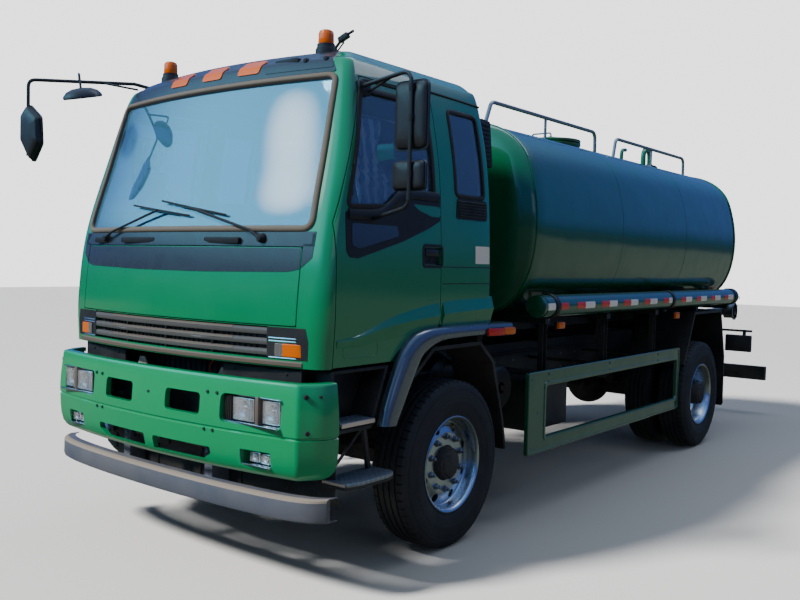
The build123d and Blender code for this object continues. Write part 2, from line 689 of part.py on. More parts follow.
BUMPER_FLANGE = 48
HEADLAMP_X = (592, 1002)
HEADLAMP_Z = (912, 1068)
FOG_LAMP_X = (735, 935)
FOG_LAMP_Z = (698, 784)
LAMP_POCKETS = (
    # x limits, z limits, front and back stations of each pocket's box on the left half
    (HEADLAMP_X, HEADLAMP_Z, -1375, -1325),
    (FOG_LAMP_X, FOG_LAMP_Z, -1390, -1325),
)
BUMPER_OPENINGS = (
    # x limits and z limits of each opening on the left half
    ((155, 440), (930, 1050)),
    ((40, 520), (684, 762)),
)

with BuildPart() as front_bumper:
    add(bumper_solid(0, BUMPER_SECTIONS))
    add(bumper_solid(28, ((639, 55), (700, 18), (874, 0), (1130, 20))), mode=Mode.SUBTRACT)
    add(bumper_solid(BUMPER_FLANGE, ((1129, 20), (1156, 22))), mode=Mode.SUBTRACT)
    block((-1300, 1300), (-1250, -1100), (600, 720), Mode.SUBTRACT)
    for x_sign in (-1, 1):
        for x, z, pocket_front, pocket_back in LAMP_POCKETS:
            block(sorted((x_sign * (x[0] - 7), x_sign * (x[1] + 7))), (pocket_front, pocket_back),
                  (z[0] - 7, z[1] + 7))
            block(sorted((x_sign * x[0], x_sign * x[1])), (-1500, pocket_back - 10), z, Mode.SUBTRACT)
        for x, z in BUMPER_OPENINGS:
            block(sorted((x_sign * x[0], x_sign * x[1])), (-1500, -1300), z, Mode.SUBTRACT)
        # Bracket back to the frame rail
        block(sorted((x_sign * 350, x_sign * RAIL_OUTER_X)), (-1437, RAIL_FRONT), (800, 860))

with BuildPart() as headlamps:
    for x_low, x_high, y_front in ((HEADLAMP_X[0] + 3, 795, -1420), (799, HEADLAMP_X[1] - 3, -1385)):
        block((x_low, x_high), (y_front, -1335), (HEADLAMP_Z[0] + 3, HEADLAMP_Z[1] - 3))
    block((FOG_LAMP_X[0] + 3, FOG_LAMP_X[1] - 3), (-1385, -1335), (FOG_LAMP_Z[0] + 3, FOG_LAMP_Z[1] - 3))
    mirror(about=Plane.YZ)

with BuildPart() as lower_bar:
    with BuildSketch(level_plane(435)):
        with BuildLine():
            ThreePointArc((-1200, -1300), (0, -1430), (1200, -1300))
            Line((1200, -1300), (1200, -1215))
            ThreePointArc((1200, -1215), (0, -1345), (-1200, -1215))
            Line((-1200, -1215), (-1200, -1300))
        make_face()
    extrude(amount=125)
    for x_sign in (-1, 1):
        block(sorted((x_sign * 352, x_sign * 418)), (-1330, RAIL_FRONT + 60), (500, RAIL_BOTTOM))

# Cab steps: a closed well box under each door, an upper tread and a lower step
with BuildPart() as cab_steps:
    side_prism(((-1150, 925), (-800, 925), (-665, 1205), (-1150, 1205)), (940, 1125))
    block((960, 1140), (-1070, -790), (900, 925))
    side_prism(((-1040, 600), (-1010, 600), (-1010, 925), (-1040, 925)), (1000, 1030))
    side_prism(((-700, 600), (-670, 600), (-730, 925), (-760, 925)), (1000, 1030))
    side_prism(((-1060, 560), (-625, 560), (-625, 600), (-1060, 600)), (1000, 1195))
    # Carrier from the frame rail
    block((RAIL_OUTER_X, 945), (-960, -880), (930, 965))
    mirror(about=Plane.YZ)

with BuildPart() as mudguards:
    side_prism(((-430, 1130), (-230, 1280), (300, 1285), (470, 1150), (610, 740), (655, 530),
                (635, 525), (590, 735), (450, 1135), (290, 1262), (-222, 1258), (-415, 1112)), (800, 1135))
    block((RAIL_OUTER_X, 805), (200, 260), (1180, 1240))
    block((RAIL_OUTER_X, 470), (200, 260), (900, 1240))
    side_prism(((3890, 860), (4150, SADDLE_ARM_Z), (4960, SADDLE_ARM_Z), (5120, 860), (5130, 340), (5110, 340),
                (5100, 855), (4945, 1338), (4165, 1338), (3912, 852)), (605, HALF_WIDTH))
    mirror(about=Plane.YZ)

# Tank: a rounded oblong section with dished heads
TANK_CORNERS = (
    # x, height above the tank's centre: the joints and the middles of the arcs on the left half,
    # from the top's middle to the bottom's
    (0, 748), (430, 725), (800, 660), (1030, 490), (1130, 220), (1160, -70), (1120, -350),
    (1010, -555), (800, -690), (430, -738), (0, -748),
)
TANK_STATIONS = (
    # station, share of the full section
    (TANK_FRONT - 150, 0.55),
    (TANK_FRONT - 120, 0.78),
    (TANK_FRONT - 70, 0.92),
    (TANK_FRONT - 25, 0.985),
    (TANK_FRONT, 1.0),
    (TANK_REAR, 1.0),
    (TANK_REAR + 40, 0.985),
    (TANK_REAR + 110, 0.92),
    (TANK_REAR + 190, 0.78),
    (TANK_REAR + 230, 0.55),
)


with BuildPart() as tank_body:
    for y_station, share in TANK_STATIONS:
        left = [(x * share, TANK_CENTRE_Z + rise * share) for x, rise in TANK_CORNERS]
        right = [(-x, z) for x, z in reversed(left)]
        with BuildSketch(front_plane(y_station)):
            with BuildLine():
                for side in (left, right):
                    for start in range(0, len(side) - 1, 2):
                        ThreePointArc(side[start], side[start + 1], side[start + 2])
            make_face()
    loft(ruled=True)

MANWAY_Y = 3300
MANWAY_RADIUS = 280
MANWAY_TOP = 2990
LID_HINGE_Y = MANWAY_Y + 345
LID_HINGE_Z = 3015

with BuildPart() as tank_shell:
    add(tank_body.part)

with BuildPart() as manway_collar:
    upright_disc(0, MANWAY_Y, MANWAY_RADIUS, (2800, MANWAY_TOP))
    upright_disc(0, MANWAY_Y, MANWAY_RADIUS - 30, (2900, MANWAY_TOP), Mode.SUBTRACT)
    for x_sign in (-1, 1):
        side_prism(((MANWAY_Y + 265, 2900), (LID_HINGE_Y + 25, 2900), (LID_HINGE_Y + 25, LID_HINGE_Z + 20),
                    (LID_HINGE_Y - 17, LID_HINGE_Z + 20), (LID_HINGE_Y - 40, 2980), (MANWAY_Y + 265, 2950)),
                   sorted((x_sign * 50, x_sign * 62)))
    cross_disc(LID_HINGE_Y, LID_HINGE_Z, 8, (-62, 62))
    add(tank_body.part, mode=Mode.SUBTRACT)

with BuildPart() as manway_lid:
    upright_disc(0, MANWAY_Y, MANWAY_RADIUS + 15, (MANWAY_TOP + 6, MANWAY_TOP + 40))
    upright_disc(0, MANWAY_Y, 120, (MANWAY_TOP + 40, MANWAY_TOP + 60))
    block((-40, 40), (MANWAY_Y, LID_HINGE_Y), (MANWAY_TOP + 12, MANWAY_TOP + 38))
    cross_disc(LID_HINGE_Y, LID_HINGE_Z, 18, (-40, 40))
    cross_disc(LID_HINGE_Y, LID_HINGE_Z, 8 + RUNNING_GAP, (-70, 70), Mode.SUBTRACT)

HANDRAILS = (
    # front station, rear station
    (1230, 3070),
    (3490, 5380),
)
RAIL_X = 580
RAIL_HEIGHT = 3000

with BuildPart() as handrails:
    for y_front, y_rear in HANDRAILS:
        bent_tube(((RAIL_X, y_front, 2780), (RAIL_X, y_front + 60, RAIL_HEIGHT), (RAIL_X, y_rear, RAIL_HEIGHT),
                   (RAIL_X, y_rear, 2780)), 17, 60)
        upright_disc(RAIL_X, (y_front + y_rear) / 2, 14, (2780, RAIL_HEIGHT))
    add(tank_body.part, mode=Mode.SUBTRACT)

with BuildPart() as vent_pipes:
    bent_tube(((300, 4920, 2780), (300, 4920, 3120), (300, 5120, 3120), (300, 5120, 2960)), 28, 70)
    bent_tube(((300, 4330, 2780), (300, 4330, 3030), (300, 4430, 3030)), 20, 45)
    add(tank_body.part, mode=Mode.SUBTRACT)

# Subframe that carries the tank: a sill on each rail and saddles shaped to the tank
SADDLES = (1180, 2230, 3280, 4350, 5330)

with BuildPart() as tank_subframe:
    for x_sign in (-1, 1):
        block(sorted((x_sign * (RAIL_OUTER_X - RAIL_WIDTH), x_sign * RAIL_OUTER_X)), (900, 6400),
              (RAIL_TOP, 1130))
    for y_mid in SADDLES:
        front_prism(((-560, 1130), (560, 1130), (600, SADDLE_ARM_Z), (1150, SADDLE_ARM_Z), (1150, 1405),
                     (1080, 1405), (900, 1560), (-900, 1560), (-1080, 1405), (-1150, 1405),
                     (-1150, SADDLE_ARM_Z), (-600, SADDLE_ARM_Z)),
                    (y_mid - 35, y_mid + 35))
    for x_sign in (-1, 1):
        block(sorted((x_sign * 450, x_sign * 520)), (1000, 5400), (1250, 1440))
    add(tank_body.part, mode=Mode.SUBTRACT)

# Hose tubes along both sides, held by straps on the saddles
TUBE_FRONT = 990
TUBE_REAR = 5440
STRAPS = (1180, 3480, 5330)

with BuildPart() as hose_tubes:
    long_disc(TUBE_X, TUBE_Z, TUBE_RADIUS, (TUBE_FRONT, TUBE_REAR))
    mirror(about=Plane.YZ)

with BuildPart() as tube_straps:
    for y_mid in STRAPS:
        long_disc(TUBE_X, TUBE_Z, TUBE_RADIUS + 8, (y_mid - 35, y_mid + 35))
        block((1000, 1080), (y_mid - 25, y_mid + 25), (1470, 1500))
        block((1098, 1122), (y_mid - 25, y_mid + 25), (1380, 1430))
    mirror(about=Plane.YZ)
    add(hose_tubes.part, mode=Mode.SUBTRACT)
    add(tank_subframe.part, mode=Mode.SUBTRACT)
    add(tank_body.part, mode=Mode.SUBTRACT)

# Side guards between the axles
GUARD_FRONT = 875
GUARD_REAR = 3820
GUARD_X = (1142, 1182)

with BuildPart() as side_guards:
    block(GUARD_X, (GUARD_FRONT, GUARD_REAR), (440, 1030))
    block(GUARD_X, (GUARD_FRONT + 265, GUARD_REAR - 70), (550, 915), Mode.SUBTRACT)
    for y_mid in (1180, 2230, 3280):
        block((1085, 1140), (y_mid - 30, y_mid + 30), (945, SADDLE_ARM_Z))
        block((1085, 1160), (y_mid - 30, y_mid + 30), (945, 1000))
        block((RAIL_OUTER_X, 1100), (y_mid - 25, y_mid + 25), (972, 1000))
    mirror(about=Plane.YZ)
    add(tank_subframe.part, mode=Mode.SUBTRACT)

# Lamps on the chassis: side markers below the tubes and the tail lamps
MARKERS = (
    # station limits, z limits, x limits
    ((1325, 1440), (1310, 1380), (1120, 1165)),
    ((3715, 3840), (1300, 1380), (1120, 1165)),
)
with BuildPart() as chassis_lamps:
    for y, z, x in MARKERS:
        block(x, y, z)
    block((800, 1100), (6430, 6500), (800, 1000))
    block((1000, 1030), (6440, 6480), (1000, 1040))
    mirror(about=Plane.YZ)

with BuildPart() as underrun_bar:
    block((-HALF_WIDTH, HALF_WIDTH), (6705, 6775), (445, 610))
    for x_sign in (-1, 1):
        side_prism(((6460, 720), (6600, 720), (6705, 560), (6705, 470)),
                   sorted((x_sign * 352, x_sign * 418)))
    # Lamp carrier across the tail
    block((-1100, 1100), (6440, 6480), (1040, 1065))
    for x_sign in (-1, 1):
        block(sorted((x_sign * 360, x_sign * 420)), (6440, 6480), (RAIL_TOP, 1040))

# Working ladder up the tank's rear head and the walkway behind it
with BuildPart() as rear_ladder:
    for x_sign in (-1, 1):
        bent_tube(((x_sign * 190, 5830, 1132), (x_sign * 190, 5790, 2870), (x_sign * 190, 5560, 2980),
                   (x_sign * 190, 5330, 2980), (x_sign * 190, 5330, 2800)), 16, 60)
    for step in range(6):
        cross_disc(5825 - 5 * step, 1380 + 270 * step, 12, (-190, 190))
    block((-430, 430), (5700, 6400), (1130, 1160))
    add(tank_body.part, mode=Mode.SUBTRACT)

COUPLING_BORE_RADIUS = 38
COUPLING_BORE_DEPTH = 60

# Outlet pipe under the tank's rear, its valve and the hose coupling on the left
with BuildPart() as outlet_pipes:
    bent_tube(((600, 5200, 1500), (600, 5200, 1250), (600, 5700, 1250), (1010, 5700, 1320)), 45, 80)
    cross_disc(5700, 1320, 80, (1010, 1120))
    cross_disc(5700, 1320, COUPLING_BORE_RADIUS, (1120 - COUPLING_BORE_DEPTH, 1120), Mode.SUBTRACT)
    long_disc(600, 1250, 75, (5420, 5560))
    add(tank_body.part, mode=Mode.SUBTRACT)
    add(tank_subframe.part, mode=Mode.SUBTRACT)

PIECES = {
    "frame_rails": frame_rails,
    "front_axle_beam": front_axle_beam,
    "rear_axle": rear_axle,
    "leaf_springs": leaf_springs,
    "engine_block": engine_block,
    "radiator": radiator,
    "fuel_tank": fuel_tank,
    "air_reservoirs": air_reservoirs,
    "battery_box": battery_box,
    "front_bumper": front_bumper,
    "headlamps": headlamps,
    "lower_bar": lower_bar,
    "cab_steps": cab_steps,
    "mudguards": mudguards,
    "tank_subframe": tank_subframe,
    "tank_shell": tank_shell,
    "manway_collar": manway_collar,
    "handrails": handrails,
    "vent_pipes": vent_pipes,
    "hose_tubes": hose_tubes,
    "tube_straps": tube_straps,
    "side_guards": side_guards,
    "chassis_lamps": chassis_lamps,
    "underrun_bar": underrun_bar,
    "rear_ladder": rear_ladder,
    "outlet_pipes": outlet_pipes,
    "manway_lid": manway_lid,
    "cab_shell": cab_shell,
    "windscreen": windscreen,
    "cab_glass": cab_glass,
    "grille": grille,
    "turn_lamps": turn_lamps,
    "seats": seats,
    "dashboard": dashboard,
    "steering_wheel": steering_wheel,
    "roof_lamps": roof_lamps,
    "beacons": beacons,
    "wipers": wipers,
    "mirror_right": mirror_right,
    "arch_flares": arch_flares,
    "front_panel": front_panel,
    "door_left": door_left,
    "door_left_glass": door_left_glass,
    "mirror_left": mirror_left,
    "door_right": door_right,
    "door_right_glass": door_right_glass,
    "knuckle_left": knuckle_left,
    "knuckle_right": knuckle_right,
    "front_left_tyre": front_left_tyre,
    "front_left_rim": front_left_rim,
    "front_right_tyre": front_right_tyre,
    "front_right_rim": front_right_rim,
    "rear_left_tyres": rear_left_tyres,
    "rear_left_rims": rear_left_rims,
    "rear_right_tyres": rear_right_tyres,
    "rear_right_rims": rear_right_rims,
}

os.makedirs("parts", exist_ok=True)
for name, piece in PIECES.items():
    piece.part.label = name
    export_step(piece.part, f"parts/{name}.step")
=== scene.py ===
import json
from math import atan2, cos, hypot, pi, radians, sin

import bmesh
import bpy
from bpy.props import FloatProperty, FloatVectorProperty, IntProperty, PointerProperty
from mathutils import Matrix, Vector


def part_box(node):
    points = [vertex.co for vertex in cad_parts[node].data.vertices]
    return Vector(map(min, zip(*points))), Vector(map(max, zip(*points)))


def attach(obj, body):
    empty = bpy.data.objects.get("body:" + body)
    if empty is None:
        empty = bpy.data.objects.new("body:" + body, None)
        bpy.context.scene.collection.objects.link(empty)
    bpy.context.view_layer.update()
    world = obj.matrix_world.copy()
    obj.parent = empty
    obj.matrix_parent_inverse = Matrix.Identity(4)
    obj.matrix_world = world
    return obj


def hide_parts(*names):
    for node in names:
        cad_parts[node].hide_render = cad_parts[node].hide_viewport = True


bl_info = {
    "name": "Water tanker truck",
    "version": (1, 0, 0),
    "blender": (4, 5, 0),
    "location": "3D View > Sidebar > Tanker",
    "description": "Finishes and detail for a two-axle water tanker truck with a tilting cab",
    "category": "Object",
}

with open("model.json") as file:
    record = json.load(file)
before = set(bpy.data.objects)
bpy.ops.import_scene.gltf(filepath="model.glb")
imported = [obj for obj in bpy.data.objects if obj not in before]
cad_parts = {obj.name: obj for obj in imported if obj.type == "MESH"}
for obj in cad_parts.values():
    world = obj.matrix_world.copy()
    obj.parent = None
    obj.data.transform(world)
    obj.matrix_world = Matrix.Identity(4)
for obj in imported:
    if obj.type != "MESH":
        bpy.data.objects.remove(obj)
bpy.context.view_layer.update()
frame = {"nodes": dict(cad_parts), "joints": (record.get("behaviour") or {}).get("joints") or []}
NODES = frame["nodes"]

# The truck faces -Y and its left side is +X. Stations are counted from the front axle, in metres.
AXLE_Y = next(joint["pos_m"][1] for joint in frame["joints"] if joint["name"] == "front_left_spin")
AXLE_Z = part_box("front_left_tyre")[1].z / 2

SIDES = (-1, 1)
DOORS = (("door_left", 1), ("door_right", -1))


def at(x, station, z):
    """Point of the truck's frame, given by its station."""
    return Vector((x, AXLE_Y + station, z))


def across(side, a, b):
    """Stretch along X between two distances from the middle, on one side of the truck."""
    return sorted((side * a, side * b))


def about(middle, half):
    """Stretch that reaches half to either side of its middle."""
    return (middle - half, middle + half)


def out_to(side):
    """Unit vector straight out to one side of the truck."""
    return Vector((side, 0, 0))


# ---------------------------------------------------------------- node trees


class Net:
    """Short calls that add and join the nodes of one tree."""

    def __init__(self, tree):
        self.tree = tree

    def add(self, kind, inputs=None, **settings):
        """New node with its settings. Its inputs are given by name or number."""
        node = self.tree.nodes.new("ShaderNode" + kind)
        for key, value in settings.items():
            setattr(node, key, value)
        return self.feed(node, inputs or {})

    def feed(self, node, inputs):
        """Links each input of a node to a socket, or sets it to a value."""
        for key, value in inputs.items():
            if isinstance(value, bpy.types.NodeSocket):
                self.tree.links.new(value, node.inputs[key])
            else:
                node.inputs[key].default_value = value
        return node

    def give(self, node, **inputs):
        """Feeds a node by keywords, with _ for a space in the inputs' names."""
        return self.feed(node, {name.replace("_", " "): value for name, value in inputs.items()})

    def effect(self, name, **inputs):
        """Places a shared effect in a material with its own values. Returns its outputs."""
        return self.give(self.add("Group", node_tree=bpy.data.node_groups[name]), **inputs).outputs

    def math(self, operation, *values, clamp=False):
        node = self.add("Math", dict(enumerate(values)), operation=operation, use_clamp=clamp)
        return node.outputs[0]

    def span(self, value, low, high, to_low=0.0, to_high=1.0):
        """Smooth ramp of a value between two limits."""
        inputs = {0: value, 1: low, 2: high, 3: to_low, 4: to_high}
        return self.add("MapRange", inputs, interpolation_type="SMOOTHSTEP").outputs[0]

    def mix(self, share, first, second):
        node = self.add("Mix", {0: share, 6: first, 7: second}, data_type="RGBA")
        return node.outputs[2]

    def noise(self, scale, detail=3.0, vector=None):
        inputs = {"Scale": scale, "Detail": detail, "Vector": vector or self.place()}
        return self.add("TexNoise", inputs).outputs["Fac"]

    def place(self):
        return self.add("TexCoord").outputs["Object"]

    def bump(self, height, depth, distance=0.01, normal=None):
        inputs = {"Height": height, "Strength": depth, "Distance": distance}
        if normal:
            inputs["Normal"] = normal
        return self.add("Bump", inputs).outputs[0]


def start_group(name, inputs, outputs):
    """New shader group with its sockets. Returns its net, the inputs' sockets and the output node."""
    tree = bpy.data.node_groups.new(name, "ShaderNodeTree")
    for label, kind, default in inputs:
        socket = tree.interface.new_socket(name=label, in_out="INPUT", socket_type="NodeSocket" + kind)
        socket.default_value = default
    for label, kind in outputs:
        tree.interface.new_socket(name=label, in_out="OUTPUT", socket_type="NodeSocket" + kind)
    net = Net(tree)
    return net, tree.nodes.new("NodeGroupInput").outputs, tree.nodes.new("NodeGroupOutput")


def build_groups():
    """The shared effects: dust, worn edges, grain, paint ripple, colour drift, tread bars, weave and ribs."""
    net, given, result = start_group(
        "Road dust", (("Low", "Float", 0.2), ("High", "Float", 1.6), ("Amount", "Float", 0.3),
                      ("Scale", "Float", 3.0)),
        (("Mask", "Float"),))
    height = net.add("SeparateXYZ", {0: net.place()}).outputs["Z"]
    lower = net.add("MapRange", {0: height, 1: given["Low"], 2: given["High"], 3: 1.0, 4: 0.0}).outputs[0]
    facing = net.add("SeparateXYZ", {0: net.add("NewGeometry").outputs["Normal"]}).outputs["Z"]
    settled = net.math("MULTIPLY_ADD", net.math("MAXIMUM", facing, 0.0), 0.5, lower)
    cloud = net.span(net.noise(given["Scale"], 6.0), 0.35, 0.75)
    speck = net.span(net.noise(net.math("MULTIPLY", given["Scale"], 22.0), 2.0), 0.3, 0.8)
    mottle = net.math("MULTIPLY_ADD", cloud, 0.7, net.math("MULTIPLY", speck, 0.3))
    mask = net.math("MULTIPLY", net.math("MULTIPLY", settled, mottle), given["Amount"], clamp=True)
    net.give(result, Mask=mask)

    net, given, result = start_group(
        "Worn edges", (("Width", "Float", 0.004), ("Amount", "Float", 0.5), ("Scale", "Float", 30.0)),
        (("Mask", "Float"),))
    softened = net.add("Bevel", {"Radius": given["Width"]}, samples=4).outputs[0]
    flat = net.add("NewGeometry").outputs["Normal"]
    along = net.add("VectorMath", {0: softened, 1: flat}, operation="DOT_PRODUCT").outputs["Value"]
    edge = net.span(net.math("SUBTRACT", 1.0, along), 0.02, 0.22)
    chipped = net.span(net.noise(given["Scale"], 5.0), 0.4, 0.62)
    worn = net.math("MULTIPLY", edge, chipped)
    net.give(result, Mask=net.math("MULTIPLY", worn, given["Amount"], clamp=True))

    net, given, result = start_group(
        "Surface grain", (("Scale", "Float", 200.0), ("Coarse", "Float", 12.0)),
        (("Height", "Float"), ("Spread", "Float")))
    fine = net.noise(given["Scale"], 4.0)
    coarse = net.noise(given["Coarse"], 4.0)
    net.give(result, Height=net.math("MULTIPLY_ADD", coarse, 0.3, fine), Spread=net.span(coarse, 0.3, 0.7))

    net, given, result = start_group(
        "Paint ripple", (("Peel", "Float", 260.0), ("Panel", "Float", 2.2)),
        (("Fine", "Float"), ("Broad", "Float")))
    net.give(result, Fine=net.noise(given["Peel"], 1.0), Broad=net.noise(given["Panel"], 1.5))

    net, given, result = start_group(
        "Colour drift", (("Colour", "Color", (0.5, 0.5, 0.5, 1)), ("Drift", "Float", 0.1),
                         ("Scale", "Float", 1.5)),
        (("Colour", "Color"),))
    shift = net.math("SUBTRACT", net.noise(given["Scale"], 4.0), 0.5)
    value = net.math("MULTIPLY_ADD", shift, given["Drift"], 1.0)
    shade = net.add("HueSaturation", {"Color": given["Colour"], "Value": value})
    net.give(result, Colour=shade.outputs[0])

    net, given, result = start_group(
        "Tread bars", (("Pitch", "Float", 24.0),), (("Height", "Float"),))
    parts = net.add("SeparateXYZ", {0: net.place()})
    rising = net.math("MULTIPLY", net.math("ADD", parts.outputs["X"], parts.outputs["Y"]), given["Pitch"])
    falling = net.math("MULTIPLY", net.math("SUBTRACT", parts.outputs["X"], parts.outputs["Y"]),
                       given["Pitch"])
    squares = net.math("ADD", net.math("FLOOR", rising), net.math("FLOOR", falling))
    parity = net.math("FLOORED_MODULO", squares, 2.0)
    first = net.math("POWER", net.math("SUBTRACT", net.math("FRACT", rising), 0.5), 2.0)
    second = net.math("POWER", net.math("SUBTRACT", net.math("FRACT", falling), 0.5), 2.0)
    # Each square holds one bar, which lies the other way in the next square
    slim, wide = 40.0, 5.0
    one = net.math("MULTIPLY_ADD", first, slim, net.math("MULTIPLY", second, wide))
    other = net.math("MULTIPLY_ADD", first, wide, net.math("MULTIPLY", second, slim))
    chosen = net.add("Mix", {0: parity, 2: one, 3: other}).outputs[0]
    net.give(result, Height=net.span(chosen, 0.5, 1.0, 1.0, 0.0))

    net, given, result = start_group(
        "Cloth weave", (("Threads", "Float", 260.0),), (("Height", "Float"), ("Mask", "Float")))
    parts = net.add("SeparateXYZ", {0: net.place()})
    diagonal = net.math("ADD", parts.outputs["X"], parts.outputs["Y"])
    warp = net.math("SINE", net.math("MULTIPLY", diagonal, given["Threads"]))
    weft = net.math("SINE", net.math("MULTIPLY", parts.outputs["Z"], given["Threads"]))
    height = net.math("MULTIPLY_ADD", net.math("MULTIPLY", warp, weft), 0.5, 0.5)
    net.give(result, Height=height, Mask=net.span(net.noise(40.0, 5.0), 0.35, 0.7))

    net, given, result = start_group(
        "Lens ribs", (("Pitch", "Float", 300.0),), (("Height", "Float"),))
    parts = net.add("SeparateXYZ", {0: net.place()})
    diagonal = net.math("ADD", parts.outputs["X"], parts.outputs["Y"])
    sweep = net.math("SINE", net.math("MULTIPLY", diagonal, given["Pitch"]))
    rows = net.math("SINE", net.math("MULTIPLY", parts.outputs["Z"], given["Pitch"]))
    net.give(result, Height=net.math("MULTIPLY_ADD", sweep, 0.5, net.math("MULTIPLY", rows, 0.3)))


# ---------------------------------------------------------------- materials

DUST = (0.23, 0.2, 0.165, 1)
BARE = (0.42, 0.42, 0.43, 1)
FINISHED = {}

# Plain finishes: name, colour, metallic, roughness, coat, grain scale, grain depth, drift, dust, wear
COATINGS = (
    ("chassis_black", (0.012, 0.013, 0.015), 0.0, 0.42, 0.0, 180, 0.12, 0.5, 0.5, 0.35),
    ("cast_iron", (0.03, 0.03, 0.032), 0.3, 0.62, 0.0, 320, 0.4, 0.5, 0.75, 0.3),
    ("steel_grey", (0.34, 0.35, 0.36), 0.9, 0.34, 0.0, 240, 0.1, 0.3, 0.3, 0.2),
    ("lower_bar_grey", (0.07, 0.083, 0.115), 0.0, 0.42, 0.2, 300, 0.18, 0.4, 0.3, 0.9),
    # The flare's blue tint over its dark grey is a painted sky reflection
    ("flare_grey_sky_blue", (0.05, 0.066, 0.1), 0.0, 0.24, 1.0, 420, 0.05, 0.2, 0.12, 0.0),
    ("plastic_black", (0.014, 0.014, 0.016), 0.0, 0.46, 0.0, 520, 0.35, 0.3, 0.35, 0.1),
    ("mirror_case", (0.016, 0.017, 0.019), 0.0, 0.34, 0.2, 480, 0.15, 0.3, 0.2, 0.0),
    ("grille_grey", (0.1, 0.102, 0.108), 0.2, 0.36, 0.1, 400, 0.12, 0.3, 0.25, 0.3),
    ("trim_rubber", (0.022, 0.02, 0.018), 0.0, 0.6, 0.0, 420, 0.25, 0.4, 0.3, 0.0),
    ("seal_bronze", (0.13, 0.115, 0.095), 0.0, 0.48, 0.0, 380, 0.15, 0.3, 0.3, 0.0),
    ("nose_band", (0.02, 0.026, 0.034), 0.0, 0.24, 0.5, 500, 0.04, 0.08, 0.0, 0.0),
    ("rim_silver", (0.62, 0.64, 0.67), 1.0, 0.2, 0.0, 260, 0.05, 0.12, 0.25, 0.0),
    ("nut_steel", (0.3, 0.31, 0.33), 0.9, 0.38, 0.0, 260, 0.12, 0.4, 0.4, 0.2),
    ("bright_metal", (0.78, 0.79, 0.8), 1.0, 0.12, 0.0, 200, 0.03, 0.1, 0.12, 0.0),
    ("lining_grey", (0.13, 0.14, 0.15), 0.0, 0.7, 0.0, 500, 0.3, 0.2, 0.1, 0.0),
    ("headlining", (0.42, 0.42, 0.4), 0.0, 0.85, 0.0, 600, 0.3, 0.1, 0.0, 0.0),
    ("panel_white", (0.75, 0.75, 0.72), 0.0, 0.4, 0.2, 300, 0.05, 0.1, 0.25, 0.0),
    ("hose_rubber", (0.02, 0.02, 0.021), 0.0, 0.55, 0.0, 420, 0.2, 0.3, 0.5, 0.0),
    ("marker_orange", (0.9, 0.17, 0.02), 0.0, 0.4, 0.2, 300, 0.06, 0.2, 0.2, 0.0),
    # Bronze: a real trim finish, and also the painted highlight along the grille bars' tops and on the nose
    # sill
    ("bronze_trim_and_highlight", (0.2, 0.16, 0.13), 0.5, 0.4, 0.0, 300, 0.1, 0.3, 0.2, 0.0),
    ("step_nosing", (0.72, 0.62, 0.52), 0.2, 0.4, 0.0, 260, 0.1, 0.3, 0.2, 0.0),
    ("bar_worn", (0.26, 0.23, 0.2), 0.0, 0.6, 0.0, 200, 0.3, 0.6, 0.4, 0.0),
    ("brass", (0.6, 0.42, 0.16), 1.0, 0.32, 0.0, 260, 0.1, 0.3, 0.3, 0.1),
)
# Enamels with a clear coat: name, property with the colour, roughness, panel ripple, dust, wear
ENAMELS = (
    ("body_green", "body_colour", 0.3, 0.05, 0.04, 0.0),
    ("tank_green", "tank_colour", 0.28, 0.10, 0.08, 0.0),
    # The bumper's enamel is the cab's green made brighter, as painted light on the bumper's face
    ("bumper_green", "bumper_lit_colour", 0.3, 0.06, 0.0, 0.12),
    ("guard_green", "guard_colour", 0.34, 0.08, 0.06, 0.25),
)
# Lamp windows and glass: name, colour, roughness, transmission, rib pitch, rib depth, glow
LENSES = (
    # The windscreen's strong sky-blue colour is a painted reflection of the sky
    ("glass", (0.16, 0.5, 0.8), 0.01, 0.8, 0, 0, 0.0),
    ("window_glass", (0.55, 0.62, 0.68), 0.01, 0.95, 0, 0, 0.0),
    ("dark_glass", (0.03, 0.034, 0.038), 0.02, 0.0, 0, 0, 0.0),
    ("lamp_clear", (0.92, 0.94, 0.95), 0.04, 0.9, 620, 0.08, 0.0),
    ("lamp_amber", (0.62, 0.125, 0.0), 0.12, 0.15, 420, 0.25, 0.06),
    ("lamp_red", (0.6, 0.006, 0.004), 0.12, 0.15, 420, 0.4, 0.03),
    ("tape_white", (0.86, 0.87, 0.88), 0.25, 0.0, 700, 0.25, 0.0),
    ("tape_red", (0.72, 0.03, 0.02), 0.25, 0.0, 700, 0.25, 0.0),
)


def new_material(name):
    """Empty node material with its Principled shader. Returns its net and the shader."""
    material = bpy.data.materials.new(name)
    material.use_nodes = True
    material.node_tree.nodes.clear()
    net = Net(material.node_tree)
    shader = net.add("BsdfPrincipled")
    net.add("OutputMaterial", {"Surface": shader.outputs[0]})
    FINISHED[name] = material
    return net, shader


def aged(net, colour, drift, dust, wear, dust_top=1.7):
    """Colour with drift, worn edges and road dust over it. Returns the colour and the dust mask."""
    base = net.effect("Colour drift", Colour=colour, Drift=drift)["Colour"]
    if wear:
        base = net.mix(net.effect("Worn edges", Amount=wear)["Mask"], base, BARE)
    mask = net.effect("Road dust", Amount=dust, High=dust_top)["Mask"]
    return net.mix(mask, base, DUST), mask


def rough(net, base, spread, mask, amount):
    """Roughness that varies with the grain and rises under dust."""
    varied = net.math("MULTIPLY_ADD", spread, amount, base)
    return net.math("MULTIPLY_ADD", mask, 0.35, varied, clamp=True)


def build_coatings():
    """Plain paints, plastics, rubbers and metals."""
    for name, colour, metallic, roughness, coat, scale, depth, drift, dust, wear in COATINGS:
        net, shader = new_material(name)
        base, mask = aged(net, (*colour, 1), drift, dust, wear)
        grain = net.effect("Surface grain", Scale=float(scale))
        net.give(shader, Base_Color=base, Roughness=rough(net, roughness, grain["Spread"], mask, 0.12),
                 Normal=net.bump(grain["Height"], depth, 0.002), Metallic=metallic,
                 Coat_Weight=coat, Coat_Roughness=0.12, Coat_IOR=2.0 if coat == 1.0 else 1.5)


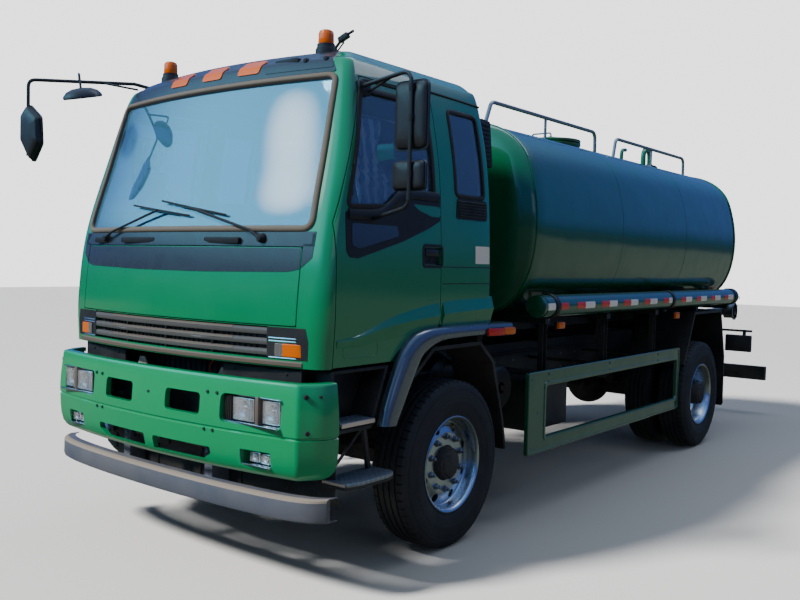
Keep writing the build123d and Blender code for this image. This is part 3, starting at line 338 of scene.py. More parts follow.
def build_enamels(paints):
    """Coloured enamels under a clear coat, in the colours of the settings."""
    for name, colour, roughness, ripple, dust, wear in ENAMELS:
        net, shader = new_material(name)
        base, mask = aged(net, (*getattr(paints, colour), 1), 0.12, dust, wear, 1.5)
        grain = net.effect("Surface grain", Scale=900.0, Coarse=5.0)
        waves = net.effect("Paint ripple")
        broad = net.bump(waves["Broad"], ripple, 0.06)
        net.give(shader, Base_Color=base, Roughness=rough(net, roughness, grain["Spread"], mask, 0.1),
                 Normal=net.bump(waves["Fine"], 0.06, 0.0015, broad),
                 Coat_Weight=1.0, Coat_Roughness=0.035, Coat_IOR=1.6, Coat_Normal=broad)


def build_lenses():
    """Window glass under a film of dust, and ribbed lamp windows and tape."""
    for name, colour, roughness, clear, pitch, depth, glow in LENSES:
        net, shader = new_material(name)
        net.give(shader, Transmission_Weight=clear, IOR=1.45)
        if name.endswith("glass"):
            film = net.effect("Road dust", Amount=0.1, Low=1.8, High=3.2)["Mask"]
            net.give(shader, Base_Color=(*colour, 1),
                     Roughness=net.math("MULTIPLY_ADD", film, 0.5, roughness),
                     Coat_Weight=1.0, Coat_Roughness=0.02, Coat_IOR=2.0 if name == "glass" else 1.5)
        else:
            ribs = net.effect("Lens ribs", Pitch=float(pitch))
            base, mask = aged(net, (*colour, 1), 0.1, 0.15, 0.0)
            net.give(shader, Base_Color=base, Normal=net.bump(ribs["Height"], depth, 0.002),
                     Roughness=net.math("MULTIPLY_ADD", mask, 0.4, roughness),
                     Coat_Weight=0.6 if clear > 0.5 else 0.25, Coat_Roughness=0.05)
            if glow:
                net.give(shader, Emission_Color=base, Emission_Strength=glow)


def build_rubber():
    """Tyre rubber: dull, with a fine grain, paler with dust near the road."""
    net, shader = new_material("tyre_rubber")
    base, mask = aged(net, (0.024, 0.0235, 0.0255, 1), 0.5, 0.16, 0.0, 0.9)
    grain = net.effect("Surface grain", Scale=260.0, Coarse=9.0)
    net.give(shader, Base_Color=base, Roughness=rough(net, 0.66, grain["Spread"], mask, 0.12),
             Normal=net.bump(grain["Height"], 0.3, 0.002))


def build_plate():
    """Bright chequered plate of the steps and walkways."""
    net, shader = new_material("tread_plate")
    base, mask = aged(net, (0.55, 0.56, 0.57, 1), 0.2, 0.5, 0.0)
    bars = net.effect("Tread bars")["Height"]
    worn = net.math("MULTIPLY_ADD", bars, -0.15, 0.42)
    net.give(shader, Base_Color=net.mix(net.math("MULTIPLY", bars, 0.4), base, (0.8, 0.8, 0.8, 1)),
             Metallic=1.0,
             Roughness=net.math("MULTIPLY_ADD", mask, 0.4, worn, clamp=True),
             Normal=net.bump(bars, 0.9, 0.004))


def build_cloths():
    """Seat cloth and the striped curtain, and the mirrors' silvered glass."""
    for name, colour, second, stripes in (
        ("seat_cloth", (0.09, 0.1, 0.12, 1), (0.16, 0.17, 0.2, 1), 60.0),
        ("curtain_blue", (0.06, 0.16, 0.42, 1), (0.7, 0.74, 0.8, 1), 75.0),
    ):
        net, shader = new_material(name)
        weave = net.effect("Cloth weave", Threads=900.0)
        y = net.add("SeparateXYZ", {0: net.place()}).outputs["Y"]
        band = net.span(net.math("SINE", net.math("MULTIPLY", y, stripes)), -0.2, 0.3)
        worn = net.mix(net.math("MULTIPLY", weave["Mask"], 0.25), net.mix(band, colour, second), second)
        net.give(shader, Base_Color=worn, Normal=net.bump(weave["Height"], 0.5, 0.002),
                 Roughness=0.92, Sheen_Weight=0.3)
    net, shader = new_material("mirror_glass")
    smear = net.span(net.noise(9.0, 5.0), 0.45, 0.8)
    net.give(shader, Base_Color=(0.82, 0.85, 0.88, 1), Metallic=1.0,
             Roughness=net.math("MULTIPLY_ADD", smear, 0.08, 0.03))


def build_floor():
    """Studio floor with a faint unevenness, pale to the camera. To all other rays it is grey: painted shade
    that dims the light it throws back onto the truck.
    """
    net, shader = new_material("pale_floor")
    cloud = net.noise(0.35, 3.0)
    pale = net.mix(cloud, (0.9, 0.89, 0.87, 1), (0.94, 0.93, 0.92, 1))
    seen = net.add("LightPath").outputs["Is Camera Ray"]
    net.give(shader, Base_Color=net.mix(seen, (0.3, 0.3, 0.3, 1), pale), Roughness=0.75,
             Normal=net.bump(net.noise(60.0, 3.0), 0.05))


# ---------------------------------------------------------------- shapes


AXES = {"X": Vector((1, 0, 0)), "Y": Vector((0, 1, 0)), "Z": Vector((0, 0, 1))}
FORWARD, DOWN = Vector((0, -1, 0)), Vector((0, 0, -1))


def rounded_path(points, bend, steps=6):
    """Points of a line whose corners are rounded by arcs."""
    path = [points[0]]
    for before, corner, after in zip(points, points[1:], points[2:]):
        inward, outward = (before - corner).normalized(), (after - corner).normalized()
        half = inward.angle(outward) / 2
        if not bend or half > 1.55:
            path.append(corner)
            continue
        reach = min(bend / max(abs(sin(half) / cos(half)), 1e-6), (before - corner).length * 0.49,
                    (after - corner).length * 0.49)
        start, end = corner + inward * reach, corner + outward * reach
        for step in range(steps + 1):
            t = step / steps
            path.append(start * (1 - t) ** 2 + corner * 2 * t * (1 - t) + end * t ** 2)
    return path + [points[-1]]


def on_circle(centre, radius, count, offset=0.0):
    """Points round a circle that faces sideways. The offset is a share of their pitch."""
    turns = [2 * pi * (i + offset) / count for i in range(count)]
    return [centre + Vector((0, cos(a) * radius, sin(a) * radius)) for a in turns]


def rectangle(a, b):
    """Corners of an upright rectangle from its limits along both axes."""
    return ((a[0], b[0]), (a[1], b[0]), (a[1], b[1]), (a[0], b[1]))


def rounded(outline, radius, steps=6):
    """The same closed 2-D outline with its corners rounded."""
    corners = [Vector((*point, 0)) for point in outline]
    line = []
    for before, corner, after in zip(corners[-1:] + corners, corners, corners[1:] + corners[:1]):
        line += rounded_path([before, corner, after], radius, steps)[1:-1]
    return [(p.x, p.y) for p in line]


class Shape:
    """A mesh in the making. Faces take the finish named by the next call of paint."""

    def __init__(self, mesh=None):
        self.bm = bmesh.new()
        self.painted = self.bm.faces.layers.int.new("painted")
        self.finishes = []
        if mesh:
            self.bm.from_mesh(mesh)

    def paint(self, finish):
        """Gives the faces added since the last call their finish."""
        if finish not in self.finishes:
            self.finishes.append(finish)
        index = self.finishes.index(finish)
        for face in self.bm.faces:
            if not face[self.painted]:
                face.material_index = index
                face[self.painted] = 1
        return self

    def soften(self, verts, width, segments=2):
        """Rounds the edges of a block, given its corners."""
        if width:
            edges = list({e for v in verts for e in v.link_edges})
            bmesh.ops.bevel(self.bm, geom=edges, offset=width, segments=segments, profile=0.5,
                            affect="EDGES", material=-1, clamp_overlap=True)

    def box(self, x, station, z, soft=0.0, segments=2):
        """Block between pairs of limits along each axis, with its edges rounded by soft."""
        low, high = at(x[0], station[0], z[0]), at(x[1], station[1], z[1])
        place = Matrix.Translation((low + high) / 2) @ Matrix.Diagonal((*(high - low), 1))
        made = bmesh.ops.create_cube(self.bm, size=1, matrix=place)
        self.soften(made["verts"], soft, segments)
        return self

    def prism(self, outline, axis, limits, soft=0.0, segments=2):
        """Outline carried along an axis. It is (station, z) for X, (x, z) for Y and (x, station) for Z."""
        spot = {"X": lambda a, b, c: at(c, a, b), "Y": lambda a, b, c: at(a, c, b), "Z": at}[axis]
        verts = [self.bm.verts.new(spot(a, b, limits[0])) for a, b in outline]
        face = self.bm.faces.new(verts)
        made = bmesh.ops.extrude_face_region(self.bm, geom=[face], use_keep_orig=True)
        moved = [v for v in made["geom"] if isinstance(v, bmesh.types.BMVert)]
        bmesh.ops.translate(self.bm, verts=moved, vec=spot(0, 0, limits[1]) - spot(0, 0, limits[0]))
        self.soften(verts + moved, soft, segments)
        return self

    def lathe(self, profile, centre, axis="X", steps=32, closed=False, turn=2 * pi):
        """Turned shape. The profile is (along the axis, radius) from the centre."""
        along = AXES[axis] if isinstance(axis, str) else axis
        out = along.orthogonal().normalized()
        verts = [self.bm.verts.new(centre + along * a + out * max(r, 0.0)) for a, r in profile]
        pairs = list(zip(verts, verts[1:])) + ([(verts[-1], verts[0])] if closed else [])
        edges = [self.bm.edges.new(pair) for pair in pairs]
        full = abs(turn - 2 * pi) < 1e-6
        bmesh.ops.spin(self.bm, geom=verts + edges, cent=centre, axis=along, dvec=(0, 0, 0), angle=turn,
                       steps=steps, use_merge=full, use_duplicate=False)
        return self

    def rod(self, limits, radius, centre, axis="X", steps=32):
        """Plain round rod between two distances along the axis."""
        low, high = limits
        return self.lathe(((low, 0.0), (low, radius), (high, radius), (high, 0.0)), centre, axis, steps)

    def tube(self, points, radius, bend=0.0, sides=3):
        """Round bar along straight runs with rounded corners, closed at both ends."""
        curve = bpy.data.curves.new("bar", "CURVE")
        curve.dimensions = "3D"
        curve.bevel_depth, curve.bevel_resolution, curve.use_fill_caps = radius, sides, True
        path = rounded_path([at(*p) for p in points], bend)
        spline = curve.splines.new("POLY")
        spline.points.add(len(path) - 1)
        for knot, point in zip(spline.points, path):
            knot.co = (*point, 1)
        holder = bpy.data.objects.new("bar", curve)
        mesh = bpy.data.meshes.new_from_object(holder)
        self.bm.from_mesh(mesh)
        bpy.data.objects.remove(holder)
        bpy.data.curves.remove(curve)
        bpy.data.meshes.remove(mesh)
        return self

    def copy_of(self, mesh, place):
        """Adds a finished mesh, moved to a place."""
        count = len(self.bm.verts)
        self.bm.from_mesh(mesh)
        self.bm.verts.ensure_lookup_table()
        bmesh.ops.translate(self.bm, verts=self.bm.verts[count:], vec=place)
        return self

    def bolt(self, centre, axis, radius=0.012, height=0.012, washer=True):
        """Hexagon head on a washer, standing out along the axis."""
        if washer:
            self.rod((0, height * 0.2), radius * 1.35, centre, axis, 12)
        head = ((0, 0), (0, radius), (height * 0.85, radius), (height, radius * 0.8), (height, 0))
        self.lathe(head, centre, axis, 6)
        return self

    def ring(self, points, section):
        """Closed frame: a section (across, outwards) set along a closed line of (point, normal)."""
        loops = []
        for index, (point, normal) in enumerate(points):
            ahead = (points[(index + 1) % len(points)][0] - points[index - 1][0]).normalized()
            side = ahead.cross(normal).normalized()
            loops.append([point + side * a + normal * b for a, b in section])
        _, loops = self.loops(loops)
        for index in range(len(loops)):
            bmesh.ops.bridge_loops(self.bm, edges=loops[index - 1] + loops[index])
        return self

    def loops(self, rings):
        """Closed loops of edges through rings of points. Returns the rings' corners and the loops."""
        rings = [[self.bm.verts.new(p) for p in ring] for ring in rings]
        return rings, [[self.bm.edges.new((ring[i - 1], ring[i])) for i in range(len(ring))]
                       for ring in rings]

    def loft(self, rings, caps=True):
        """Skin over rings of points in their order. Without caps, the last ring joins the first."""
        rings, loops = self.loops(rings)
        for low, high in zip(loops, loops[1:]):
            bmesh.ops.bridge_loops(self.bm, edges=low + high)
        if caps:
            for ring in (rings[0], rings[-1]):
                self.bm.faces.new(ring)
        else:
            bmesh.ops.bridge_loops(self.bm, edges=loops[0] + loops[-1])
        return self

    def place(self, name, body, slot=None, stands_for=(), smooth=32, merge=True, recalc=True):
        """Makes the piece's object and sets it to ride on its body."""
        if merge:
            bmesh.ops.remove_doubles(self.bm, verts=self.bm.verts, dist=1e-5)
        if recalc:
            bmesh.ops.recalc_face_normals(self.bm, faces=self.bm.faces)
        mesh = bpy.data.meshes.new(name)
        self.bm.to_mesh(mesh)
        self.bm.free()
        for finish in self.finishes:
            mesh.materials.append(FINISHED[finish])
        return place_mesh(mesh, name, body, stands_for, smooth)


def place_mesh(mesh, name, body, stands_for=(), smooth=32):
    """Makes a mesh a piece that rides on its body, with edges sharp above an angle in degrees."""
    mesh.shade_smooth()
    mesh.set_sharp_from_angle(angle=radians(smooth))
    piece = bpy.data.objects.new(name, mesh)
    bpy.context.scene.collection.objects.link(piece)
    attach(piece, body)
    if stands_for:
        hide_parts(*stands_for)
    return piece


# ---------------------------------------------------------------- settings


def colour_setting(label, words, value):
    return FloatVectorProperty(name=label, description=words, default=value, subtype="COLOR", size=3,
                               min=0, max=1)


def length_setting(label, words, value):
    return FloatProperty(name=label, description=words, default=value, min=0, unit="LENGTH")


def count_setting(label, words, value, least, most):
    return IntProperty(name=label, description=words, default=value, min=least, max=most)


class TankerPaints(bpy.types.PropertyGroup):
    """Colours that a user would change."""

    body_colour: colour_setting("Cab", "Enamel of the cab and doors", (0.0, 0.187, 0.072))
    tank_colour: colour_setting("Tank", "Enamel of the tank and hose tubes", (0.0, 0.09, 0.035))
    # The bumper's colour is the cab's enamel made brighter: painted light, since both share one paint
    bumper_lit_colour: colour_setting("Bumper", "Enamel of the front bumper", (0.0, 0.275, 0.1))
    guard_colour: colour_setting("Guards", "Enamel of the side guards and sills", (0.0, 0.105, 0.048))


class TankerSizes(bpy.types.PropertyGroup):
    """Sizes and counts that a user would change."""

    tyre_blocks: count_setting("Tread blocks", "Shoulder blocks round a tyre", 62, 20, 90)
    groove_depth: length_setting("Groove depth", "Depth of the tread's grooves", 0.014)
    wheel_nuts: count_setting("Wheel nuts", "Nuts on each wheel", 10, 6, 12)
    seal_width: length_setting("Windscreen seal", "Width of the rubber round the windscreen", 0.034)
    tape_width: length_setting("Tape width", "Width of the reflective tape on the hose tubes", 0.05)
    guard_fold: length_setting("Guard lip", "Depth of the pressed lip round the side guards", 0.03)


# ---------------------------------------------------------------- cab surface

# Level sections of the cab: z, half width, shoulder x, nose station, rear station, and the share of an inset
# that lowers the section
CAB_SECTIONS = (
    (1.220, 1.138, 1.020, -1.355, 0.400, 0.0),
    (1.500, 1.153, 1.025, -1.355, 0.400, 0.0),
    (1.930, 1.147, 1.031, -1.300, 0.400, 0.0),
    (2.400, 1.112, 1.000, -1.167, 0.400, 0.0),
    (2.830, 1.020, 0.955, -1.045, 0.398, 0.0),
    (2.930, 0.945, 0.880, -0.975, 0.385, 0.6),
    (2.985, 0.840, 0.780, -0.860, 0.350, 1.0),
    (3.000, 0.600, 0.560, -0.600, 0.150, 1.0),
)


def curve_point(p, t):
    """Point of a smooth curve between the middle two of four points."""
    return 0.5 * (2 * p[1] + (p[2] - p[0]) * t + (2 * p[0] - 5 * p[1] + 4 * p[2] - p[3]) * t ** 2
                  + (3 * p[1] - p[0] - 3 * p[2] + p[3]) * t ** 3)


def cab_levels():
    """The cab's sections with smooth ones between them."""
    rows = [Vector(row) for row in CAB_SECTIONS]
    knots = [0.0]
    for low, high in zip(rows, rows[1:]):
        knots.append(knots[-1] + (high - low).length)
    slopes = []
    for i, row in enumerate(rows):
        before, after = max(i - 1, 0), min(i + 1, len(rows) - 1)
        slopes.append((rows[after] - rows[before]) / (knots[after] - knots[before]))
    levels = []
    for i, (low, high) in enumerate(zip(rows, rows[1:])):
        length = knots[i + 1] - knots[i]
        steps = max(3, round(length / 0.06))
        for step in range(steps):
            t = step / steps
            levels.append(low * (2 * t ** 3 - 3 * t ** 2 + 1) + high * (3 * t ** 2 - 2 * t ** 3)
                          + slopes[i] * length * (t ** 3 - 2 * t ** 2 + t)
                          + slopes[i + 1] * length * (t ** 3 - t ** 2))
    return levels + [rows[-1]]


CAB_LEVELS = cab_levels()


def cab_level(z):
    """Half width, shoulder, nose and rear of the cab at a height."""
    for low, high in zip(CAB_LEVELS, CAB_LEVELS[1:]):
        if low[0] <= z <= high[0]:
            return low.lerp(high, (z - low[0]) / max(high[0] - low[0], 1e-9))
    return CAB_LEVELS[0] if z < CAB_LEVELS[0][0] else CAB_LEVELS[-1]


def nose_station(x, z, proud=0.0):
    """Station of the cab's front face, for x inside the shoulder."""
    level = cab_level(z)
    return level[3] + 0.1 * (x / level[2]) ** 2 - proud


def cab_half(z):
    """Half width of the cab at a height."""
    return cab_level(z)[1]


def on_side(side, f, z, proud=0.0):
    """Point on the cab's side, standing proud of it."""
    return at(side * (cab_half(z) + proud), f, z)


def side_line(side, outline):
    """Points of an outline on the cab's side, each with the surface's outward normal."""
    line = []
    for f, z in outline:
        out = Vector((1, 0, -(cab_half(z + 0.01) - cab_half(z - 0.01)) / 0.02)).normalized()
        line.append((on_side(side, f, z), Vector((side * out.x, 0, out.z))))
    return line


def flat_line(side, outline):
    """Points of an outline on the cab's side, each with a normal straight to the side."""
    return [(on_side(side, f, z), out_to(side)) for f, z in outline]


def swept(limits, steps, front, section, side=1):
    """Rings of a section, (back, z), carried along X. The front is a function that gives its station at x."""
    low, high = limits
    spots = [low + (high - low) * i / steps for i in range(steps + 1)]
    return [[at(side * x, front(x) + back, z) for back, z in section] for x in spots]


def cab_ring(level, inset):
    """Outline of the cab at one level, anticlockwise from the right shoulder."""
    z, half, shoulder, nose, rear, lowering = level
    tip, side, corner = shoulder - 0.3 * inset, half - inset, nose + 0.17 + 0.3 * inset
    front, back = nose + inset, rear - inset
    start = nose + 0.1 + 0.95 * inset
    half_ring = [(tip * i / 14, front + (start - front) * (i / 14) ** 2) for i in range(14)]
    bulge = ((tip + side) / 2 + 0.018, (start + corner) / 2 - 0.014)
    control = [2 * b - (p + q) / 2 for b, p, q in zip(bulge, (tip, start), (side, corner))]
    for i in range(8):
        t = i / 8
        half_ring.append(tuple(p * (1 - t) ** 2 + c * 2 * t * (1 - t) + q * t ** 2
                               for p, c, q in zip((tip, start), control, (side, corner))))
    radius = 0.06
    half_ring += [(side, corner + (back - radius - corner) * i / 12) for i in range(12)]
    half_ring += [(side - radius * (1 - cos(a)), back - radius * (1 - sin(a))) for a in
                  (pi / 2 * i / 4 for i in range(4))]
    half_ring += [((side - radius) * (1 - i / 7), back) for i in range(8)]
    other = [(-x, y) for x, y in reversed(half_ring[1:-1])]
    return [at(x, y, z - lowering * inset) for x, y in half_ring + other]


def cab_body(inset):
    """The whole cab as a closed shape, shrunk inwards by the inset."""
    return Shape().loft([cab_ring(level, inset) for level in CAB_LEVELS])


def loose_object(shape):
    """Temporary object of a shape, for cutting with."""
    bmesh.ops.recalc_face_normals(shape.bm, faces=shape.bm.faces)
    mesh = bpy.data.meshes.new("tool")
    shape.bm.to_mesh(mesh)
    shape.bm.free()
    tool = bpy.data.objects.new("tool", mesh)
    bpy.context.scene.collection.objects.link(tool)
    return tool


def carved(base, *cuts, inside=None):
    """Mesh of a closed shape, kept where it lies inside another one and then cut by the others."""
    tools = [loose_object(base)]
    steps = [("INTERSECT", inside)] if inside else []
    for operation, shape in steps + [("DIFFERENCE", cut) for cut in cuts]:
        tools.append(loose_object(shape))
        cut = tools[0].modifiers.new("cut", "BOOLEAN")
        cut.operation, cut.solver, cut.object = operation, "EXACT", tools[-1]
    bpy.context.view_layer.update()
    graph = bpy.context.evaluated_depsgraph_get()
    mesh = bpy.data.meshes.new_from_object(tools[0].evaluated_get(graph))
    for tool in tools:
        old = tool.data
        bpy.data.objects.remove(tool)
        bpy.data.meshes.remove(old)
    return mesh


def place_carved(name, finish, body, mesh, stands_for=(), smooth=32):
    """Gives a carved mesh one finish and makes it a piece."""
    mesh.name = name
    mesh.materials.clear()
    mesh.materials.append(FINISHED[finish])
    for polygon in mesh.polygons:
        polygon.material_index = 0
    return place_mesh(mesh, name, body, stands_for, smooth)


def outline_prism(outline, axis, limits, radius=0.0):
    """Prism of an outline with rounded corners, for cutting with."""
    return Shape().prism(rounded(outline, radius, 5) if radius else outline, axis, limits)


# Outlines on the cab's side, as (station, z), and on its front and rear, as (x, z)
DOOR_OUTLINE = ((-1.15, 1.225), (-0.66, 1.225), (-0.425, 1.42), (-0.205, 1.428), (-0.205, 2.8), (-0.86, 2.8),
                (-1.15, 1.985))
DOOR_OPENING = ((-1.156, 1.2), (-0.645, 1.2), (-0.43, 1.405), (-0.199, 1.405), (-0.199, 2.806),
                (-0.863, 2.806), (-1.156, 1.987))
DOOR_LINING = ((-1.13, 1.245), (-0.67, 1.245), (-0.435, 1.44), (-0.22, 1.448), (-0.22, 2.782),
               (-0.852, 2.782), (-1.13, 1.98))
DOOR_WINDOW = ((-1.06, 2.075), (-0.64, 2.1), (-0.56, 2.17), (-0.265, 2.19), (-0.265, 2.735), (-0.865, 2.735))
QUARTER_WINDOW = rectangle((-0.035, 0.29), (2.205, 2.735))
QUARTER_PANE = rectangle((-0.033, 0.288), (2.207, 2.733))
WINDSCREEN = ((-1.018, 1.952), (1.018, 1.952), (0.953, 2.805), (-0.953, 2.805))
SCREEN_PANE = ((-1.016, 1.954), (1.016, 1.954), (0.951, 2.803), (-0.951, 2.803))
REAR_WINDOW = rectangle((-0.45, 0.45), (2.15, 2.65))
UNDERSIDE = ((-0.645, 1.2), (-0.41, 1.41), (0.5, 1.43), (0.5, 1.1), (-0.645, 1.1))
CABIN = ((-1.15, 1.27), (-0.7, 1.27), (-0.6, 1.47), (0.4, 1.47), (0.4, 3.1), (-1.5, 3.1), (-1.5, 1.9),
         (-1.15, 1.9))
# Reach of the tools that cut the cab: stations for its front, and distances from the middle for its sides
NOSE_DEPTH, SCREEN_DEPTH, ROOF_DEPTH = (-1.5, -1.1), (-1.6, -0.8), (-1.2, -0.8)
WHOLE_WIDTH = (-1.3, 1.3)
SIDE_REACH = (0.7, 1.3)


# ---------------------------------------------------------------- operators

FRAME_PICTURE = (800, 600)
CAMERA_PLACE = (4.1354, -7.1583, 1.7868)
CAMERA_TURN = (0.687, 0.0442, 0.0227)
CAMERA_LENS_PX = 865.1
CAMERA_SHIFT_PX = 30.0
SENSOR_MM = 36.0


def add_softbox(name, place, target, size, power, colour):
    """Rectangular light that looks at a target."""
    data = bpy.data.lights.new(name, "AREA")
    data.shape, data.size, data.size_y = "RECTANGLE", size[0], size[1]
    data.energy, data.color = power, colour
    light = bpy.data.objects.new(name, data)
    light.location = place
    light.rotation_euler = (Vector(target) - Vector(place)).to_track_quat("-Z", "Y").to_euler()
    bpy.context.scene.collection.objects.link(light)


class TANKER_OT_stage(bpy.types.Operator):
    """Sets the camera, the soft lights, the sky and the pale floor"""

    bl_idname = "tanker.stage"
    bl_label = "Stage"

    def execute(self, context):
        yaw, pitch, roll = CAMERA_TURN
        back = Vector((sin(yaw) * cos(pitch), -cos(yaw) * cos(pitch), sin(pitch)))
        right = Vector((cos(yaw), sin(yaw), 0))
        up = back.cross(right)
        turned_right = right * cos(roll) + up * sin(roll)
        turned_up = up * cos(roll) - right * sin(roll)
        data = bpy.data.cameras.new("camera")
        data.sensor_width = SENSOR_MM
        data.lens = CAMERA_LENS_PX * SENSOR_MM / FRAME_PICTURE[0]
        data.shift_x = CAMERA_SHIFT_PX / FRAME_PICTURE[0]
        data.clip_end = 200
        camera = bpy.data.objects.new("camera", data)
        turn = Matrix((turned_right, turned_up, back)).transposed().to_4x4()
        camera.matrix_world = Matrix.Translation(CAMERA_PLACE) @ turn
        context.scene.collection.objects.link(camera)
        context.scene.camera = camera

        floor = Shape()
        bmesh.ops.create_grid(floor.bm, x_segments=2, y_segments=2, size=40)
        floor.paint("pale_floor")
        mesh = bpy.data.meshes.new("floor")
        floor.bm.to_mesh(mesh)
        mesh.materials.append(FINISHED["pale_floor"])
        ground = bpy.data.objects.new("floor", mesh)
        context.scene.collection.objects.link(ground)
        ground.visible_glossy = False

        data = bpy.data.lights.new("key", "SUN")
        data.energy, data.angle, data.color = 5.8, radians(9), (1.0, 0.98, 0.94)
        key = bpy.data.objects.new("key", data)
        key.visible_glossy = False
        key.rotation_euler = Vector((0.34, 0.66, -0.67)).to_track_quat("-Z", "Y").to_euler()
        context.scene.collection.objects.link(key)
        add_softbox("side", (10.0, -5.5, 4.5), (0.5, -0.5, 1.2), (5, 2), 12, (0.88, 0.94, 1.0))
        add_softbox("top", (1.5, 1.5, 9.0), (0, 0.5, 1.5), (3, 9), 160, (0.9, 0.95, 1.0))

        world = bpy.data.worlds.new("studio sky")
        world.use_nodes = True
        world.node_tree.nodes.clear()
        net = Net(world.node_tree)
        around = net.add("TexCoord").outputs["Generated"]
        way = net.add("SeparateXYZ", {0: around}).outputs
        height = net.math("MULTIPLY_ADD", net.span(way["Y"], -0.5, 0.2), 0.06, way["Z"])
        # Reflections see ground that darkens towards the front and below, a dark line at the horizon, a blue
        # band and a paler sky. Over them lie two glares towards the front left: a wide one by the horizon and
        # a small bright one
        earth = net.mix(net.span(way["Y"], -0.75, -0.3), (0.06, 0.08, 0.07, 1), (0.17, 0.205, 0.185, 1))
        horizon = net.mix(net.span(height, -0.6, -0.15), (0.03, 0.035, 0.03, 1), earth)
        band = net.mix(net.span(height, 0.0, 0.04), horizon, (0.02, 0.045, 0.09, 1))
        blue = net.mix(net.span(height, 0.05, 0.16), band, (0.06, 0.13, 0.45, 1))
        sky = net.mix(net.span(height, 0.4, 0.95), blue, (0.28, 0.5, 0.95, 1))
        for towards, near, far, rise, glare in (
            ((-0.555, -0.808, 0.2), 0.6, 1.0, (0.16, 0.3), (0.6, 1.9, 2.75, 1)),
            ((-0.488, -0.7, 0.52), 0.9925, 0.9997, (0.16, 0.3), (4.6, 5.0, 5.3, 1)),
        ):
            facing = net.add("VectorMath", {0: around, 1: towards}, operation="DOT_PRODUCT").outputs["Value"]
            share = net.math("MULTIPLY", net.span(facing, near, far), net.span(height, *rise))
            sky = net.mix(share, sky, glare)
        rays = net.add("LightPath").outputs
        lit = net.mix(rays["Is Glossy Ray"], (0.11, 0.13, 0.16, 1), sky)
        back_light = net.add("Background", {"Color": net.mix(rays["Is Camera Ray"], lit, (2.3, 2.3, 2.3, 1))})
        net.add("OutputWorld", {"Surface": back_light.outputs[0]})
        context.scene.world = world
        return {"FINISHED"}


# Finish of each carried-over CAD node that stays in view
NODE_FINISHES = {
    "chassis_black": ("frame_rails", "radiator", "air_reservoirs", "battery_box", "mudguards", "fuel_tank",
                      "tank_subframe", "tube_straps", "underrun_bar", "rear_ladder", "cab_steps",
                      "chassis_lamps"),
    "cast_iron": ("front_axle_beam", "rear_axle", "leaf_springs", "engine_block", "knuckle_left",
                  "knuckle_right"),
    "steel_grey": ("handrails", "vent_pipes", "outlet_pipes"),
    "body_green": ("cab_shell", "door_left", "door_right", "front_panel"),
    "tank_green": ("tank_shell", "manway_collar", "manway_lid", "hose_tubes"),
    "bumper_green": ("front_bumper",),
    "guard_green": ("side_guards",),
    "lower_bar_grey": ("lower_bar",),
    "flare_grey_sky_blue": ("arch_flares",),
    "plastic_black": ("dashboard", "steering_wheel", "wipers", "mirror_left", "mirror_right"),
    "grille_grey": ("grille",),
    "glass": ("windscreen",),
    "window_glass": ("cab_glass", "door_left_glass", "door_right_glass"),
    "lamp_amber": ("turn_lamps", "roof_lamps", "beacons"),
    "lamp_clear": ("headlamps",),
    "seat_cloth": ("seats",),
    "tyre_rubber": ("front_left_tyre", "front_right_tyre", "rear_left_tyres", "rear_right_tyres"),
    "rim_silver": ("front_left_rim", "front_right_rim", "rear_left_rims", "rear_right_rims"),
}


class TANKER_OT_finishes(bpy.types.Operator):
    """Builds the materials and gives each solid of the frame its own"""

    bl_idname = "tanker.finishes"
    bl_label = "Finishes"

    def execute(self, context):
        build_groups()
        build_coatings()
        build_enamels(context.scene.tanker_paints)
        build_lenses()
        build_rubber()
        build_plate()
        build_cloths()
        build_floor()
        for finish, names in NODE_FINISHES.items():
            for name in names:
                for holder in NODES[name].material_slots:
                    holder.material = FINISHED[finish]
        return {"FINISHED"}


# Wheels: name, ending of its body's and nodes' names, side, distances of its tyres from the truck's middle
# with the outermost first, station
WHEELS = (
    ("front_left", "", 1, (1.02,), 0.0),
    ("front_right", "", -1, (1.02,), 0.0),
    ("rear_left", "s", 1, (1.095, 0.755), 4.35),
    ("rear_right", "s", -1, (1.095, 0.755), 4.35),
)
# Tyre section from the bead to the shoulder, as (outwards from the middle, radius)
SIDEWALL = (
    (0.100, 0.286), (0.109, 0.288), (0.115, 0.294), (0.119, 0.304), (0.1215, 0.316), (0.1215, 0.321),
    (0.1235, 0.324), (0.129, 0.343), (0.1345, 0.368), (0.1375, 0.385), (0.1388, 0.386), (0.1398, 0.402),
    (0.1398, 0.404), (0.1386, 0.4055), (0.1385, 0.425), (0.136, 0.447), (0.1318, 0.468), (0.1335, 0.470),
    (0.1335, 0.4725), (0.1295, 0.4745), (0.1265, 0.489), (0.1225, 0.501), (0.1165, 0.508),
)
# Ribs of the tread, as (edges outwards from the middle, radius to the top at each edge)
RIBS = ((-0.0165, 0.529, 0.0165, 0.529), (0.027, 0.5288, 0.060, 0.528), (-0.060, 0.528, -0.027, 0.5288))
# Sideways steps of the ribs' zigzag: one point in three moves outwards and the others back
ZIGZAG = (0.0035, -0.0015)
TREAD_SHOULDER = (0.070, 0.112)
# Share of the shoulder blocks' pitch that a block takes
BLOCK_SHARE = 0.86
TYRE_STEPS, RIM_STEPS = 96, 80


